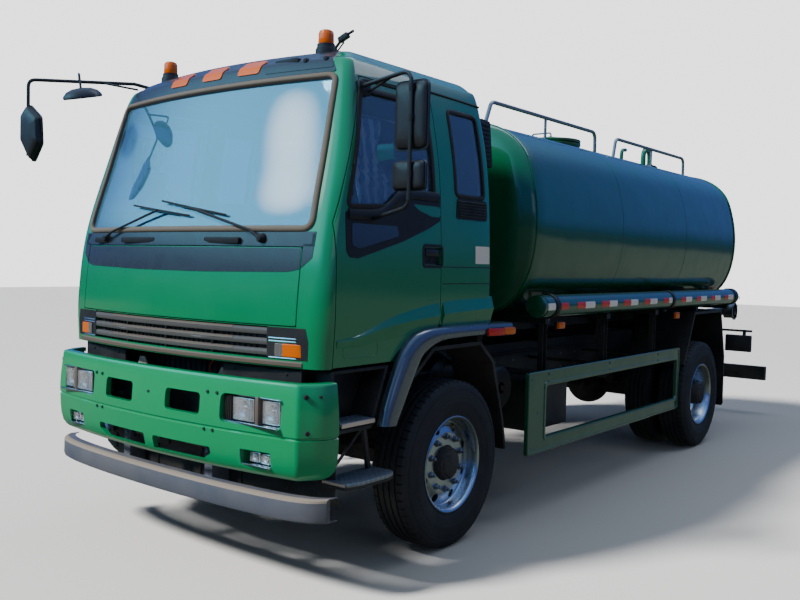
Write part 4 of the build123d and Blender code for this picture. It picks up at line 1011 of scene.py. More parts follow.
def add_tyre(shape, centre, sizes):
    """One tyre with zigzag ribs and shoulder blocks."""
    base = AXLE_Z - sizes.groove_depth
    half = list(SIDEWALL) + [(0.108, base + 0.0005), (0.05, base + 0.003)]
    profile = half + [(-a, r) for a, r in reversed(half)]
    shape.lathe(profile + [(-0.1, 0.286)], centre, "X", TYRE_STEPS, closed=True)
    for low, low_top, high, high_top in RIBS:
        steps = 3 * sizes.tyre_blocks
        outline = ((low, base - 0.002), (low, low_top - 0.001), (low + 0.0015, low_top),
                   (high - 0.0015, high_top), (high, high_top - 0.001), (high, base - 0.002))
        before = set(shape.bm.verts)
        shape.lathe(outline, centre, "X", steps, closed=True)
        for v in shape.bm.verts:
            if v not in before:
                arm = v.co - centre
                turn = round((atan2(arm.z, arm.y) / (2 * pi) + 0.5) * steps)
                v.co.x += ZIGZAG[0] if turn % 3 == 0 else ZIGZAG[1]
    inner, outer = TREAD_SHOULDER
    pitch = 2 * pi / sizes.tyre_blocks
    for side in SIDES:
        before = set(shape.bm.verts)
        outline = ((side * inner, base - 0.002), (side * inner, 0.5255), (side * (inner + 0.002), 0.5272),
                   (side * (outer - 0.006), 0.5235), (side * (outer - 0.0005), 0.5195),
                   (side * (outer + 0.005), 0.506))
        shape.lathe(outline, centre, "X", 3, closed=True, turn=pitch * BLOCK_SHARE)
        block = [v for v in shape.bm.verts if v not in before]
        edges = [e for e in {e for v in block for e in v.link_edges} if e.is_boundary]
        bmesh.ops.holes_fill(shape.bm, edges=edges, sides=0)
        faces = list({f for v in block for f in v.link_faces})
        others = sizes.tyre_blocks - 1
        bmesh.ops.spin(shape.bm, geom=faces, cent=centre, axis=(1, 0, 0), dvec=(0, 0, 0),
                       angle=pitch * others,
                       steps=others, use_duplicate=True)


class TANKER_OT_tyres(bpy.types.Operator):
    """Turns the six tyres with their sidewall rings and road tread"""

    bl_idname = "tanker.tyres"
    bl_label = "Tyres"

    def execute(self, context):
        pattern = Shape()
        add_tyre(pattern, Vector((0, 0, 0)), context.scene.tanker_sizes)
        pattern.paint("tyre_rubber")
        mesh = bpy.data.meshes.new("tyre pattern")
        pattern.bm.to_mesh(mesh)
        pattern.bm.free()
        for name, ending, side, places, station in WHEELS:
            shape = Shape()
            for x in places:
                shape.copy_of(mesh, at(side * x, station, AXLE_Z))
            shape.paint("tyre_rubber").place(name + "_treads", name + "_wheel" + ending, "tyre_rubber",
                                             (name + "_tyre" + ending,), smooth=38, merge=False)
        return {"FINISHED"}


# Disc wheels, turned from (outwards from the wheel's middle, radius). Both kinds share the rim's outer edge
STUD_CIRCLE = 0.1675
HAND_HOLE_CIRCLE, HAND_HOLE_RADIUS = 0.23, 0.028
DISC_FACE = 0.0635
STUD_END = ((0.02, 0.0), (0.02, 0.0105), (0.036, 0.0105), (0.038, 0.008), (0.038, 0.0))
RIM_EDGE = (
    (-0.102, 0.2855), (0.104, 0.2855), (0.112, 0.2935), (0.118, 0.303), (0.1225, 0.304), (0.1242, 0.3),
    (0.121, 0.291), (0.114, 0.284),
)
FRONT_RIM = RIM_EDGE + (
    (0.104, 0.279), (0.066, 0.276), (0.050, 0.273), (0.042, 0.267), (0.041, 0.258), (0.046, 0.242),
    (0.054, 0.220), (0.0595, 0.203), (0.0625, 0.194), (0.0635, 0.187), (0.0635, 0.112), (0.052, 0.112),
    (0.052, 0.185), (0.044, 0.212), (0.034, 0.240), (0.028, 0.262), (-0.090, 0.262), (-0.102, 0.272),
)
REAR_RIM = RIM_EDGE + (
    (0.104, 0.278), (0.094, 0.270), (0.086, 0.265), (0.000, 0.254), (-0.020, 0.250), (-0.034, 0.240),
    (-0.052, 0.222), (-0.0595, 0.210), (-0.0625, 0.198), (-0.0635, 0.190), (-0.0635, 0.112), (-0.075, 0.112),
    (-0.075, 0.190), (-0.066, 0.222), (-0.045, 0.250), (-0.102, 0.262),
)


def outward(profile, side):
    """Profile of a turned part whose outer end faces a side."""
    return [(side * a, r) for a, r in profile]


class TANKER_OT_rims(bpy.types.Operator):
    """Turns the disc wheels, with hand holes, nuts, hubs and valves"""

    bl_idname = "tanker.rims"
    bl_label = "Rims"

    def execute(self, context):
        count = context.scene.tanker_sizes.wheel_nuts
        for name, ending, side, places, station in WHEELS:
            body = name + "_wheel" + ending
            centre = at(side * places[0], station, AXLE_Z)
            facing = out_to(side)
            front = len(places) == 1
            profile = outward(FRONT_RIM if front else REAR_RIM, side)
            disc = Shape().lathe(profile, centre, "X", RIM_STEPS, closed=True)
            holes = Shape()
            for spot in on_circle(centre, HAND_HOLE_CIRCLE, 8, 0.5):
                bmesh.ops.create_cone(holes.bm, cap_ends=True, segments=20, radius1=HAND_HOLE_RADIUS,
                                      radius2=HAND_HOLE_RADIUS, depth=0.3,
                                      matrix=Matrix.Translation(spot) @ Matrix.Rotation(pi / 2, 4, "Y"))
            place_carved(name + "_rim", "rim_silver", body, carved(disc, holes),
                         (name + "_rim" + ending,), 40)

            shape = Shape()
            face = DISC_FACE if front else -DISC_FACE
            for spot in on_circle(centre + facing * face, STUD_CIRCLE, count, 0.5):
                shape.bolt(spot, facing, 0.0165, 0.022)
                shape.lathe(STUD_END, spot, facing, 10)
            shape.paint("nut_steel")
            reach = 0.112 if front else 0.134
            hub = ((face - 0.02, 0.111), (reach - 0.035, 0.104), (reach - 0.012, 0.098),
                   (reach - 0.012, 0.084), (reach - 0.004, 0.080), (reach, 0.074), (reach, 0.0))
            shape.lathe(outward(hub, side), centre, "X", 40)
            for spot in on_circle(centre + facing * (reach - 0.012), 0.091, 8):
                shape.bolt(spot, facing, 0.0055, 0.005, washer=False)
            shape.paint("cast_iron")
            valve = centre + facing * (face - 0.01) + Vector((0, 0, 0.236))
            stem = ((-0.02, 0.004), (0.05, 0.004), (0.05, 0.0055), (0.064, 0.0055), (0.064, 0.0))
            shape.lathe(stem, valve, facing, 8)
            shape.paint("brass")
            for inner in places[1:]:
                middle = at(side * inner, station, AXLE_Z)
                well = ((-0.102, 0.2855), (0.102, 0.2855), (0.100, 0.272), (0.07, 0.262), (-0.09, 0.262))
                shape.lathe(outward(well, side), middle, "X", 48, closed=True)
                plate = ((0.062, 0.262), (0.075, 0.262), (0.1, 0.2), (0.1, 0.0), (0.085, 0.0), (0.085, 0.2))
                shape.lathe(outward(plate, side), middle, "X", 48)
                shape.paint("nut_steel")
            if front:
                shape.rod((side * -0.08, side * 0.03), 0.205, centre, "X", 40).paint("cast_iron")
            shape.place(name + "_hub", body, "cast_iron", smooth=35)
        return {"FINISHED"}


class TANKER_OT_cab(bpy.types.Operator):
    """Shapes the cab's skin with its openings and recesses, and the tilt arms"""

    bl_idname = "tanker.cab"
    bl_label = "Cab"

    def execute(self, context):
        cuts = [outline_prism(UNDERSIDE, "X", WHOLE_WIDTH),
                outline_prism(WINDSCREEN, "Y", SCREEN_DEPTH, 0.06),
                outline_prism(REAR_WINDOW, "Y", (0.3, 0.5), 0.06)]
        for side in SIDES:
            limits = across(side, *SIDE_REACH)
            cuts += [outline_prism(DOOR_OPENING, "X", limits),
                     outline_prism(QUARTER_WINDOW, "X", limits, 0.04)]
        inside = Shape(carved(cab_body(0.045), inside=outline_prism(CABIN, "X", WHOLE_WIDTH)))
        pocket = Shape()
        for x, z in (((-0.981, 0.981), (1.435, 1.859)), ((-0.8, 0.8), (1.262, 1.432)),
                     ((0.812, 1.035), (1.272, 1.348)), ((-1.035, -0.812), (1.272, 1.348))):
            pocket.prism(rectangle(x, z), "Y", NOSE_DEPTH)
        pockets = Shape(carved(Shape(carved(cab_body(-0.02), cab_body(0.035))), inside=pocket))
        mesh = carved(cab_body(0), *cuts, inside, pockets)
        place_carved("cab_skin", "body_green", "cab", mesh, ("cab_shell",), 28)

        arms = Shape()
        for side in SIDES:
            arms.prism(((-1.27, 0.87), (-0.98, 1.24), (-1.09, 1.24), (-1.325, 0.93)), "X",
                       (side * 0.44, side * 0.51), 0.004)
            arms.lathe(((0, 0.0205), (0, 0.045), (0.07, 0.045), (0.07, 0.0205)), at(side * 0.44, -1.3, 0.9),
                       out_to(side), 24, closed=True)
        arms.paint("chassis_black").place("tilt_arms", "cab", "chassis_black")
        return {"FINISHED"}


def skin_patch(outline, axis, limits, inset, depth, radius=0.0, cuts=()):
    """Part of the cab's surface inside an outline, between two insets."""
    shell = Shape(carved(cab_body(inset), cab_body(depth)))
    return carved(shell, *cuts, inside=outline_prism(outline, axis, limits, radius))


class TANKER_OT_doors(bpy.types.Operator):
    """Shapes both doors: skin with its window and handle openings, and lining"""

    bl_idname = "tanker.doors"
    bl_label = "Doors"

    def execute(self, context):
        for name, side in DOORS:
            limits = [side * x for x in SIDE_REACH]
            window = outline_prism(DOOR_WINDOW, "X", limits, 0.03)
            handle = Shape().prism(rectangle((-0.375, -0.2), (1.775, 1.88)), "X", (side * 1.125, side * 1.3))
            skin = skin_patch(DOOR_OUTLINE, "X", limits, 0, 0.02, cuts=(window, handle))
            place_carved(name + "_skin", "body_green", name, skin, (name,), 28)
            window = outline_prism(DOOR_WINDOW, "X", limits, 0.03)
            lining = skin_patch(DOOR_LINING, "X", limits, 0.022, 0.06, cuts=(window,))
            place_carved(name + "_lining", "lining_grey", name, lining, smooth=28)
        return {"FINISHED"}


def spaced(line, step=0.06):
    """The same closed line with points along its straight runs."""
    dense = []
    for i, (a, b) in enumerate(line):
        c, d = line[(i + 1) % len(line)]
        count = max(1, round(hypot(c - a, d - b) / step))
        dense += [(a + (c - a) * j / count, b + (d - b) * j / count) for j in range(count)]
    return dense


def seal_section(width, proud):
    """Section of a rubber seal, as (across, outwards)."""
    return ((-width / 2, -0.012), (-width / 2, proud * 0.6), (-width / 4, proud), (width / 4, proud * 0.9),
            (width / 2, proud * 0.3), (width / 2, -0.012))


class TANKER_OT_glazing(bpy.types.Operator):
    """Sets the windscreen pane and the dark rubber seals round the windscreen and windows"""

    bl_idname = "tanker.glazing"
    bl_label = "Glazing"

    def execute(self, context):
        width = context.scene.tanker_sizes.seal_width
        # The windscreen takes the sky-blue glass, a painted sky reflection
        screen = skin_patch(SCREEN_PANE, "Y", SCREEN_DEPTH, 0.008, 0.014, 0.058)
        place_carved("windscreen_pane", "glass", "cab", screen, ("windscreen",), 40)
        seal = Shape()
        line = []
        for x, z in spaced(rounded(WINDSCREEN, 0.06)):
            slope = Vector((0, nose_station(x, z + 0.01) - nose_station(x, z - 0.01), 0.02)).normalized()
            lean = Vector((0.02, nose_station(x + 0.01, z) - nose_station(x - 0.01, z), 0)).normalized()
            line.append((at(x, nose_station(x, z), z), lean.cross(slope).normalized()))
        seal.ring(line, seal_section(width, 0.016)).paint("seal_bronze")
        seal.place("windscreen_seal", "cab", smooth=60)
        for name, side in DOORS:
            trim = Shape().ring(side_line(side, spaced(rounded(DOOR_WINDOW, 0.03))),
                                seal_section(0.03, 0.006))
            trim.paint("trim_rubber").place(name + "_seal", name, smooth=60)
        quarter = Shape()
        for side in SIDES:
            line = side_line(side, spaced(rounded(QUARTER_WINDOW, 0.04)))
            quarter.ring(line, seal_section(0.028, 0.007))
        back = [(at(x, 0.4, z), Vector((0, 1, 0))) for x, z in spaced(rounded(REAR_WINDOW, 0.06))]
        quarter.ring(back, seal_section(0.03, 0.01)).paint("trim_rubber")
        quarter.place("window_seals", "cab", smooth=60)
        return {"FINISHED"}


# Half of the tank's section, from the top's middle to the bottom's, as (x, height above its centre)
TANK_HALF = ((0, 0.748), (0.43, 0.725), (0.8, 0.66), (1.03, 0.49), (1.13, 0.22), (1.16, -0.07), (1.12, -0.35),
             (1.01, -0.555), (0.8, -0.69), (0.43, -0.738), (0, -0.748))
TANK_Z = 2.13
TANK_ENDS = (0.95, 5.45)
# Bulge of a dished head beyond its seam: distance and share of the full section
TANK_HEAD = ((0.0, 1.0), (0.008, 0.998), (0.02, 0.99), (0.034, 0.974), (0.05, 0.95), (0.068, 0.915),
             (0.086, 0.865), (0.104, 0.79), (0.12, 0.69), (0.134, 0.56), (0.143, 0.42), (0.148, 0.27),
             (0.15, 0.13))


def tank_ring(station, share=1.0, proud=0.0):
    """Smooth outline of the tank at a station."""
    closed = list(TANK_HALF) + [(-x, z) for x, z in reversed(TANK_HALF[1:-1])]
    count = len(closed)
    ring = []
    for i in range(count):
        p = [Vector((*closed[(i + k) % count], 0)) for k in (-1, 0, 1, 2)]
        for step in range(7):
            spot = curve_point(p, step / 7)
            scale = share * (1 + proud / spot.length)
            ring.append(at(spot.x * scale, station, TANK_Z + spot.y * scale))
    return ring


class TANKER_OT_tank(bpy.types.Operator):
    """Shapes the tank, its weld seams and head rims"""

    bl_idname = "tanker.tank"
    bl_label = "Tank"

    def execute(self, context):
        front, rear = TANK_ENDS
        stations = [(front - d, s) for d, s in reversed(TANK_HEAD)]
        stations += [(front + (rear - front) * i / 30, 1.0) for i in range(1, 30)]
        stations += [(rear + d * 1.5, s) for d, s in TANK_HEAD]
        shape = Shape()
        shape.loft([tank_ring(f, s) for f, s in stations])
        shape.paint("tank_green").place("tank_barrel", "chassis", "tank_green", ("tank_shell",), 50)
        rims = Shape()
        head_rim = ((-0.014, -0.004), (-0.014, 0.005), (-0.007, 0.0085), (0.007, 0.0085), (0.014, 0.005),
                    (0.014, -0.004))
        weld = ((-0.006, -0.002), (-0.004, 0.0014), (0.004, 0.0014), (0.006, -0.002))
        for f, section in ((front + 0.012, head_rim), (rear - 0.012, head_rim), (2.45, weld), (3.95, weld)):
            rims.loft([tank_ring(f + along, 1, proud) for along, proud in section], caps=False)
        rims.paint("tank_green").place("tank_seams", "chassis", "tank_green", smooth=50)
        return {"FINISHED"}


# ---------------------------------------------------------------- front end

# Bumper's upright section: z and inset from its fullest line
BUMPER_FACE = ((0.632, 0.095), (0.636, 0.075), (0.646, 0.055), (0.662, 0.038), (0.69, 0.02), (0.74, 0.008),
               (0.80, 0.003), (0.864, 0.001), (0.869, 0.007), (0.877, 0.007), (0.882, 0.000), (0.93, 0.000),
               (1.0, 0.004), (1.08, 0.012), (1.138, 0.019), (1.147, 0.021), (1.153, 0.026), (1.155, 0.034))
BUMPER_BACK = -1.157
HEADLAMP = ((0.592, 1.002), (0.912, 1.068))
FOG_LAMP = ((0.735, 0.935), (0.698, 0.784))


def bumper_line(inset, back):
    """Front outline of the bumper in plan, from its middle to the left end, moved inwards by the inset."""
    corner = Vector((1.1045 - 0.667 * inset, -1.3715 + 0.892 * inset))
    start = Vector((corner.x - 0.02, bumper_station(corner.x - 0.02) + inset))
    tail = Vector((1.198 - inset, -1.188 + 0.4 * inset))
    end = corner + (tail - corner).normalized() * 0.02
    line = [(start.x * i / 20, bumper_station(start.x * i / 20) + inset) for i in range(20)]
    line += [tuple(start * (1 - t) ** 2 + corner * 2 * t * (1 - t) + end * t ** 2)
             for t in (0, 0.2, 0.4, 0.6, 0.8, 1)]
    line += [(end.x + (tail.x - end.x) * sin(t * pi / 2), end.y + (tail.y - end.y) * t)
             for t in (0.25, 0.5, 0.75, 1.0)]
    return line + [(1.2 - inset, back)]


def bumper_station(x):
    """Station of the bumper's fullest line for x on its front."""
    return -1.475 + 0.103 * (x / 1.1) ** 2


def apron_station(x):
    """Station of the apron's front above the bumper."""
    return -1.29 + 0.05 * x * x


def bumper_body(levels, inset=0.0, back=BUMPER_BACK):
    """The bumper as a closed shape through levels of (z, inset), shrunk inwards by a further inset."""
    rings = []
    for z, own in levels:
        half = bumper_line(inset + own, back)
        rings.append([at(x, f, z) for x, f in [(-x, f) for x, f in reversed(half[1:])] + half])
    return Shape().loft(rings)


def add_lens(shape, x, z, front, depth=0.035):
    """Rectangular lamp: silvered box, bulb cup and ribbed lens."""
    back = front + depth
    shape.box(x, (front + 0.012, back), z, 0.004).paint("bright_metal")
    middle = at(sum(x) / 2, front + 0.013, sum(z) / 2)
    reach = min(x[1] - x[0], z[1] - z[0]) * 0.34
    cup = ((0.0, reach), (-0.006, reach * 0.96), (-0.001, reach * 0.35), (-0.008, reach * 0.3), (-0.008, 0.0))
    shape.lathe(cup, middle, "Y", 24).paint("rim_silver")
    shape.box(x, (front, front + 0.004), z, 0.0015).paint("lamp_clear")


class TANKER_OT_bumper(bpy.types.Operator):
    """Shapes the front bumper, its lamps, plugs and the bar below it"""

    bl_idname = "tanker.bumper"
    bl_label = "Bumper"

    def execute(self, context):
        blocks = Shape()
        for side in SIDES:
            for x, z in (HEADLAMP, FOG_LAMP):
                blocks.box(across(side, x[0] - 0.008, x[1] + 0.008), (-1.6, -1.325),
                           (z[0] - 0.008, z[1] + 0.008))
        core = bumper_body(((0.5, 0.03), (0.7, 0.02), (0.874, 0.002), (1.128, 0.02)), 0.028, -1.1)
        hollow = Shape(carved(core, blocks))
        throat = bumper_body(((1.12, 0.02), (1.2, 0.022)), 0.048, -1.1)
        corner = Shape()
        outline = ((-1.25, 0.6), (-1.1, 0.6), (-1.1, 0.72), (-1.157, 0.72), (-1.163, 0.69), (-1.178, 0.667),
                   (-1.205, 0.652), (-1.25, 0.648))
        corner.prism(outline, "X", WHOLE_WIDTH)
        holes = Shape()
        for side in SIDES:
            for x, z, radius, back in ((*HEADLAMP, 0.04, -1.335), (*FOG_LAMP, 0.008, -1.335),
                                       ((0.155, 0.44), (0.93, 1.05), 0.028, -1.3)):
                outline = rounded(rectangle(across(side, *x), z), radius)
                holes.prism(outline, "Y", (-1.6, back))
            slot = ((0.04, 0.684), (0.45, 0.684), (0.52, 0.725), (0.52, 0.762), (0.04, 0.762))
            holes.prism(rounded([(side * x, z) for x, z in slot], 0.018), "Y", (-1.6, -1.3))
        mesh = carved(bumper_body(BUMPER_FACE), hollow, throat, corner, holes)
        # The bumper takes the brighter copy of the cab's green, as painted light
        piece = place_carved("bumper_skin", "bumper_green", "chassis", mesh,
                             ("front_bumper",), 30)
        round_edges = piece.modifiers.new("rounded edges", "BEVEL")
        round_edges.width, round_edges.segments, round_edges.limit_method = 0.0035, 2, "ANGLE"
        round_edges.angle_limit, round_edges.harden_normals = radians(50), False

        lamps = Shape()
        for side in SIDES:
            for x, front in (((0.668, 0.818), -1.415), ((0.872, 0.988), -1.392)):
                add_lens(lamps, across(side, *x), (0.932, 1.052), front)
            for x in ((0.768, 0.835), (0.85, 0.917)):
                add_lens(lamps, across(side, *x), (0.716, 0.766), -1.38, 0.03)
            x, z = HEADLAMP
            for span, tall, back in ((x, (z[0], z[0] + 0.012), -1.425), ((x[1] - 0.014, x[1]), z, -1.38),
                                     (x, (z[1] - 0.01, z[1]), -1.4)):
                lamps.box(across(side, *span), (back, -1.34), tall, 0.003)
            lamps.paint("bright_metal")
            lamps.box(across(side, 0.832, 0.858), (-1.412, -1.34), z, 0.004).paint("bronze_trim_and_highlight")
            x, z = FOG_LAMP
            lamps.box(across(side, *x), (-1.41, -1.34), (z[0], z[0] + 0.01), 0.003).paint("bright_metal")
            for i in range(4):
                post = 0.602 + 0.015 * i
                lamps.box(across(side, post, post + 0.006), (-1.415, -1.34), (0.925, 1.058), 0.002)
            lamps.box(across(side, 0.594, 1.0), (-1.345, -1.336), (0.914, 1.066))
            lamps.box(across(side, 0.737, 0.933), (-1.345, -1.336), (0.7, 0.782)).paint("plastic_black")
        lamps.place("bumper_lamps", "chassis", "lamp_clear", ("headlamps",))

        plugs = Shape()
        for side in SIDES:
            for x, z in ((0.496, 1.063), (0.565, 1.063), (0.48, 0.858), (0.543, 0.858), (0.004, 1.011)):
                spot = at(side * x, bumper_station(x) + 0.008 * (z > 1), z)
                plugs.lathe(((-0.004, 0.0), (-0.006, 0.005), (-0.004, 0.0085), (0.006, 0.009)), spot, "Y", 12)
            for x, f, z, r in ((1.127, -1.33, 1.09, 0.013), (1.168, -1.265, 1.09, 0.008),
                               (1.135, -1.327, 0.905, 0.013)):
                out = Vector((side * 0.87, -0.49, 0))
                plug = ((0.004, 0.0), (0.003, r * 0.8), (0.0, r), (-0.02, r))
                plugs.lathe(plug, at(side * x, f, z), out, 14)
        plugs.paint("plastic_black").place("bumper_plugs", "chassis", "plastic_black")

        apron = Shape()
        section = ((0.0, 1.1), (0.0, 1.197), (0.008, 1.206), (0.02, 1.206), (0.02, 1.1))
        for limits in ((-0.98, -0.5), (0.43, 1.0)):
            apron.loft(swept(limits, 8, apron_station, section))
        for x in (-0.88, -0.58, 0.52, 0.9):
            apron.bolt(at(x, apron_station(x), 1.18), FORWARD, 0.008, 0.006)
        apron.paint("plastic_black")
        for side in SIDES:
            tag = ((0.31, 1.09), (0.44, 1.09), (0.41, 1.165), (0.36, 1.165))
            apron.prism([(side * x, z) for x, z in tag], "Y", (-1.235, -1.225), 0.002)
        apron.paint("panel_white")
        apron.tube(((0.2, -1.15, 1.08), (0.205, -1.19, 1.15), (0.215, -1.17, 1.19)), 0.005, 0.03, 2)
        apron.paint("marker_orange")
        apron.place("front_apron", "chassis")

        # Dark panels that close the openings and the space under the bumper. Their black also stands in for
        # the shade under the bumper, as painted shade.
        backing = Shape()
        backing.box((-0.57, 0.57), (-1.312, -1.302), (0.672, 1.09), 0.002)
        for x in (-0.56, -0.3, 0.0, 0.3, 0.56):
            backing.box(about(x, 0.004), (-1.318, -1.3), (0.68, 1.08))
        backing.box((-0.6, 0.6), (-1.142, -1.134), (0.98, 1.183), 0.002)
        for i in range(24):
            x = -0.575 + 0.05 * i
            backing.box(about(x, 0.003), (-1.15, -1.14), (0.99, 1.175))
        section = ((0.0, 0.7), (0.0, 0.5), (0.05, 0.44), (0.06, 0.445), (0.008, 0.505), (0.008, 0.7))
        backing.loft(swept((-1.06, 1.06), 16, lambda x: -1.25 + 0.2 * x * x, section))
        for x in (-0.8, -0.5, -0.2, 0.2, 0.5, 0.8):
            f = 0.2 * x * x
            backing.box(about(x, 0.012), (-1.258 + f, -1.24 + f), (0.51, 0.69), 0.003)
        backing.paint("plastic_black")
        backing.box((-0.32, -0.08), (-1.325, -1.314), (0.7, 0.712), 0.002)
        backing.box((0.16, 0.4), (-1.325, -1.314), (0.712, 0.724), 0.002).paint("bronze_trim_and_highlight")
        backing.place("bumper_backing", "chassis", "plastic_black", smooth=30)

        bar = Shape()
        section = ((0.085, 0.0), (0.018, 0.0), (0.005, 0.008), (0.0, 0.022), (0.002, 0.105), (0.007, 0.118),
                   (0.02, 0.125), (0.085, 0.125), (0.085, 0.12), (0.026, 0.12), (0.026, 0.005),
                   (0.085, 0.005))
        rings = []
        for i in range(33):
            a = -1 + 2 * i / 32
            x, f = 1.2 * sin(a * 1.35) / sin(1.35), -1.43 + 0.13 * a * a + 0.055 * abs(a) ** 9
            rings.append([at(x, f + b, 0.435 + c) for b, c in section])
        bar.loft(rings)
        bar.paint("lower_bar_grey")
        # Worn strip along the bar's upper edge, set from the fourth point of its section
        strip = ((0.0012, 0.108), (0.006, 0.1195), (0.02, 0.1265), (0.036, 0.1262), (0.036, 0.124),
                 (0.021, 0.124), (0.008, 0.117), (0.004, 0.108))
        worn = []
        for ring in rings:
            base = ring[3] - Vector((0, 0, 0.022))
            worn.append([base + Vector((0, b, c)) for b, c in strip])
        bar.loft(worn)
        bar.paint("bar_worn")
        for side in SIDES:
            bar.box(across(side, 0.352, 0.418), (-1.34, -1.17), (0.5, 0.72), 0.004)
        bar.paint("lower_bar_grey")
        for side in SIDES:
            for z in (0.7, 0.66):
                bar.bolt(at(side * 0.38, -1.341, z), FORWARD, 0.01, 0.009)
        bar.paint("nut_steel").place("lower_bar_skin", "chassis", "chassis_black", ("lower_bar",), 30)
        return {"FINISHED"}


def corner_station(x, z, proud=0.0):
    """Station of the nose's face where it runs on round the cab's corner."""
    return nose_station(min(x, 1.025), z) - proud + max(0.0, x - 1.0) * 0.5


def nose_patch(outline, inset, depth, radius=0.0):
    """Part of the nose's surface inside an outline of (x, z)."""
    return skin_patch(outline, "Y", NOSE_DEPTH, inset, depth, radius)


class TANKER_OT_nose(bpy.types.Operator):
    """Shapes the nose: lid, dark bands, vents, grille, turn lamps and wipers"""

    bl_idname = "tanker.nose"
    bl_label = "Nose"

    def execute(self, context):
        lid = nose_patch(rectangle((-0.975, 0.975), (1.441, 1.853)), 0, 0.025, 0.012)
        place_carved("nose_lid", "body_green", "front_panel", lid, ("front_panel",), 30)
        outline = ((-0.972, 1.738), (-0.9, 1.724), (-0.3, 1.712), (0.3, 1.712), (0.9, 1.724), (0.972, 1.738),
                   (0.972, 1.85), (-0.972, 1.85))
        band = nose_patch(outline, -0.0022, 0.002)
        place_carved("lid_band", "nose_band", "front_panel", band, smooth=30)
        for side, word in ((-1, "right"), (1, "left")):
            outline = ((0.981, 1.745), (1.045, 1.80), (1.05, 1.93), (0.981, 1.93))
            corner = nose_patch([(side * x, z) for x, z in outline], -0.0022, 0.002)
            place_carved("corner_band_" + word, "nose_band", "cab", corner, smooth=30)
        cowl = nose_patch(rectangle((-1.05, 1.05), (1.859, 1.938)), -0.0022, 0.002)
        place_carved("cowl_band", "nose_band", "cab", cowl, smooth=30)

        fittings = Shape()
        for x in ((-0.86, -0.60), (-0.518, -0.179), (0.273, 0.562)):
            rings = rounded(rectangle(x, (1.872, 1.906)), 0.0165)
            f = nose_station(sum(x) / 2, 1.89)
            fittings.prism(rings, "Y", (f - 0.012, f + 0.01), 0.004)
        for x in (-0.728, 0.709):
            f = nose_station(x, 1.9)
            pivot = ((-0.035, 0.0), (-0.035, 0.014), (-0.028, 0.02), (-0.008, 0.026), (0.01, 0.03))
            fittings.lathe(pivot, at(x, f, 1.9), "Y", 20)
        for arm in (((0.709, 1.9), (0.64, 1.945), (0.13, 2.078)),
                    ((-0.728, 1.9), (-0.64, 1.94), (-0.17, 2.068))):
            points = [(x, nose_station(x, z) - lift, z) for (x, z), lift in zip(arm, (0.03, 0.032, 0.03))]
            fittings.tube(points, 0.0075, 0.03, 2)
        fittings.paint("plastic_black")
        # Blades, each with a bridge over its middle
        for x, z, tilt in ((0.13, 2.078, -0.1), (-0.17, 2.068, -0.08)):
            runs = [0.29 * k for k in (-1, -0.5, 0, 0.5, 1)]
            points = [(x + run, nose_station(x + run, z + tilt * run) - 0.014, z + tilt * run * 1.6)
                      for run in runs]
            fittings.tube(points, 0.006, 0, 1)
            bridge = [(a, f - 0.012, b) for a, f, b in points[1:4]]
            fittings.tube(bridge, 0.0045, 0, 1)
        fittings.paint("trim_rubber")
        fittings.place("cowl_fittings", "cab", "plastic_black", ("wipers",))

        grille = Shape()
        # Each bar has a bronze strip along its top, across the middle only: a painted highlight
        for z0, z1 in ((1.277, 1.31), (1.332, 1.366), (1.387, 1.424)):
            face = ((0.004, z0), (0.0, z0 + 0.006), (-0.001, z1 - 0.014), (0.03, z1 - 0.014), (0.03, z0))
            crest = ((-0.001, z1 - 0.014), (0.001, z1 - 0.003), (0.008, z1), (0.03, z1), (0.03, z1 - 0.014))
            strip = ((-0.003, z1 - 0.013), (-0.001, z1 - 0.003), (0.007, z1 + 0.0012), (0.014, z1 - 0.002),
                     (0.004, z1 - 0.012))
            for section, reach, finish in ((face, 0.797, "grille_grey"), (crest, 0.797, "grille_grey"),
                                           (strip, 0.56, "bronze_trim_and_highlight")):
                rings = swept((-reach, reach), 24, lambda x: nose_station(x, (z0 + z1) / 2), section)
                grille.loft(rings).paint(finish)
        for x in (-0.4, 0.0, 0.4):
            f = nose_station(x, 1.34)
            grille.box(about(x, 0.005), (f + 0.004, f + 0.03), (1.264, 1.43), 0.001)
        grille.paint("plastic_black")
        back = nose_patch(rectangle((-0.797, 0.797), (1.264, 1.43)), 0.028, 0.033)
        place_carved("grille_back", "plastic_black", "cab", back)
        for x in (-0.36, 0.36):
            for z0, z1 in ((1.27, 1.277), (1.314, 1.328), (1.37, 1.383)):
                for i in range(18):
                    spot = x - 0.34 + 0.04 * i
                    f = nose_station(spot, 1.34) + 0.02
                    grille.box((spot, spot + 0.003), (f, f + 0.01), (z0 - 0.006, z1 + 0.006))
        grille.paint("plastic_black").place("grille_slats", "cab", "plastic_black", ("grille",))

        lamps = Shape()
        for side, word in ((-1, "right"), (1, "left")):
            outline = ((0.797, 1.262), (1.052, 1.262), (1.058, 1.36), (1.04, 1.43), (0.797, 1.43))
            surround = nose_patch([(side * x, z) for x, z in outline], -0.0024, 0.002)
            place_carved("lamp_surround_" + word, "plastic_black", "cab", surround, smooth=30)
            section = ((-0.008, 1.279), (-0.008, 1.341), (-0.002, 1.346), (0.03, 1.346), (0.03, 1.274),
                       (-0.002, 1.274))
            for limits, finish in (((0.852, 0.902), "lamp_clear"), ((0.902, 1.026), "lamp_amber")):
                lamps.loft(swept(limits, 6, lambda x: corner_station(x, 1.31), section, side)).paint(finish)
            for z in (1.268, 1.356, 1.372):
                line = [(side * x, corner_station(x, z, 0.001), z) for x in (0.81, 0.9, 0.97, 1.037)]
                lamps.tube(line, 0.005, 0, 1)
            lamps.paint("bright_metal")
        lamps.place("nose_lamps", "cab", "lamp_amber", ("turn_lamps",))

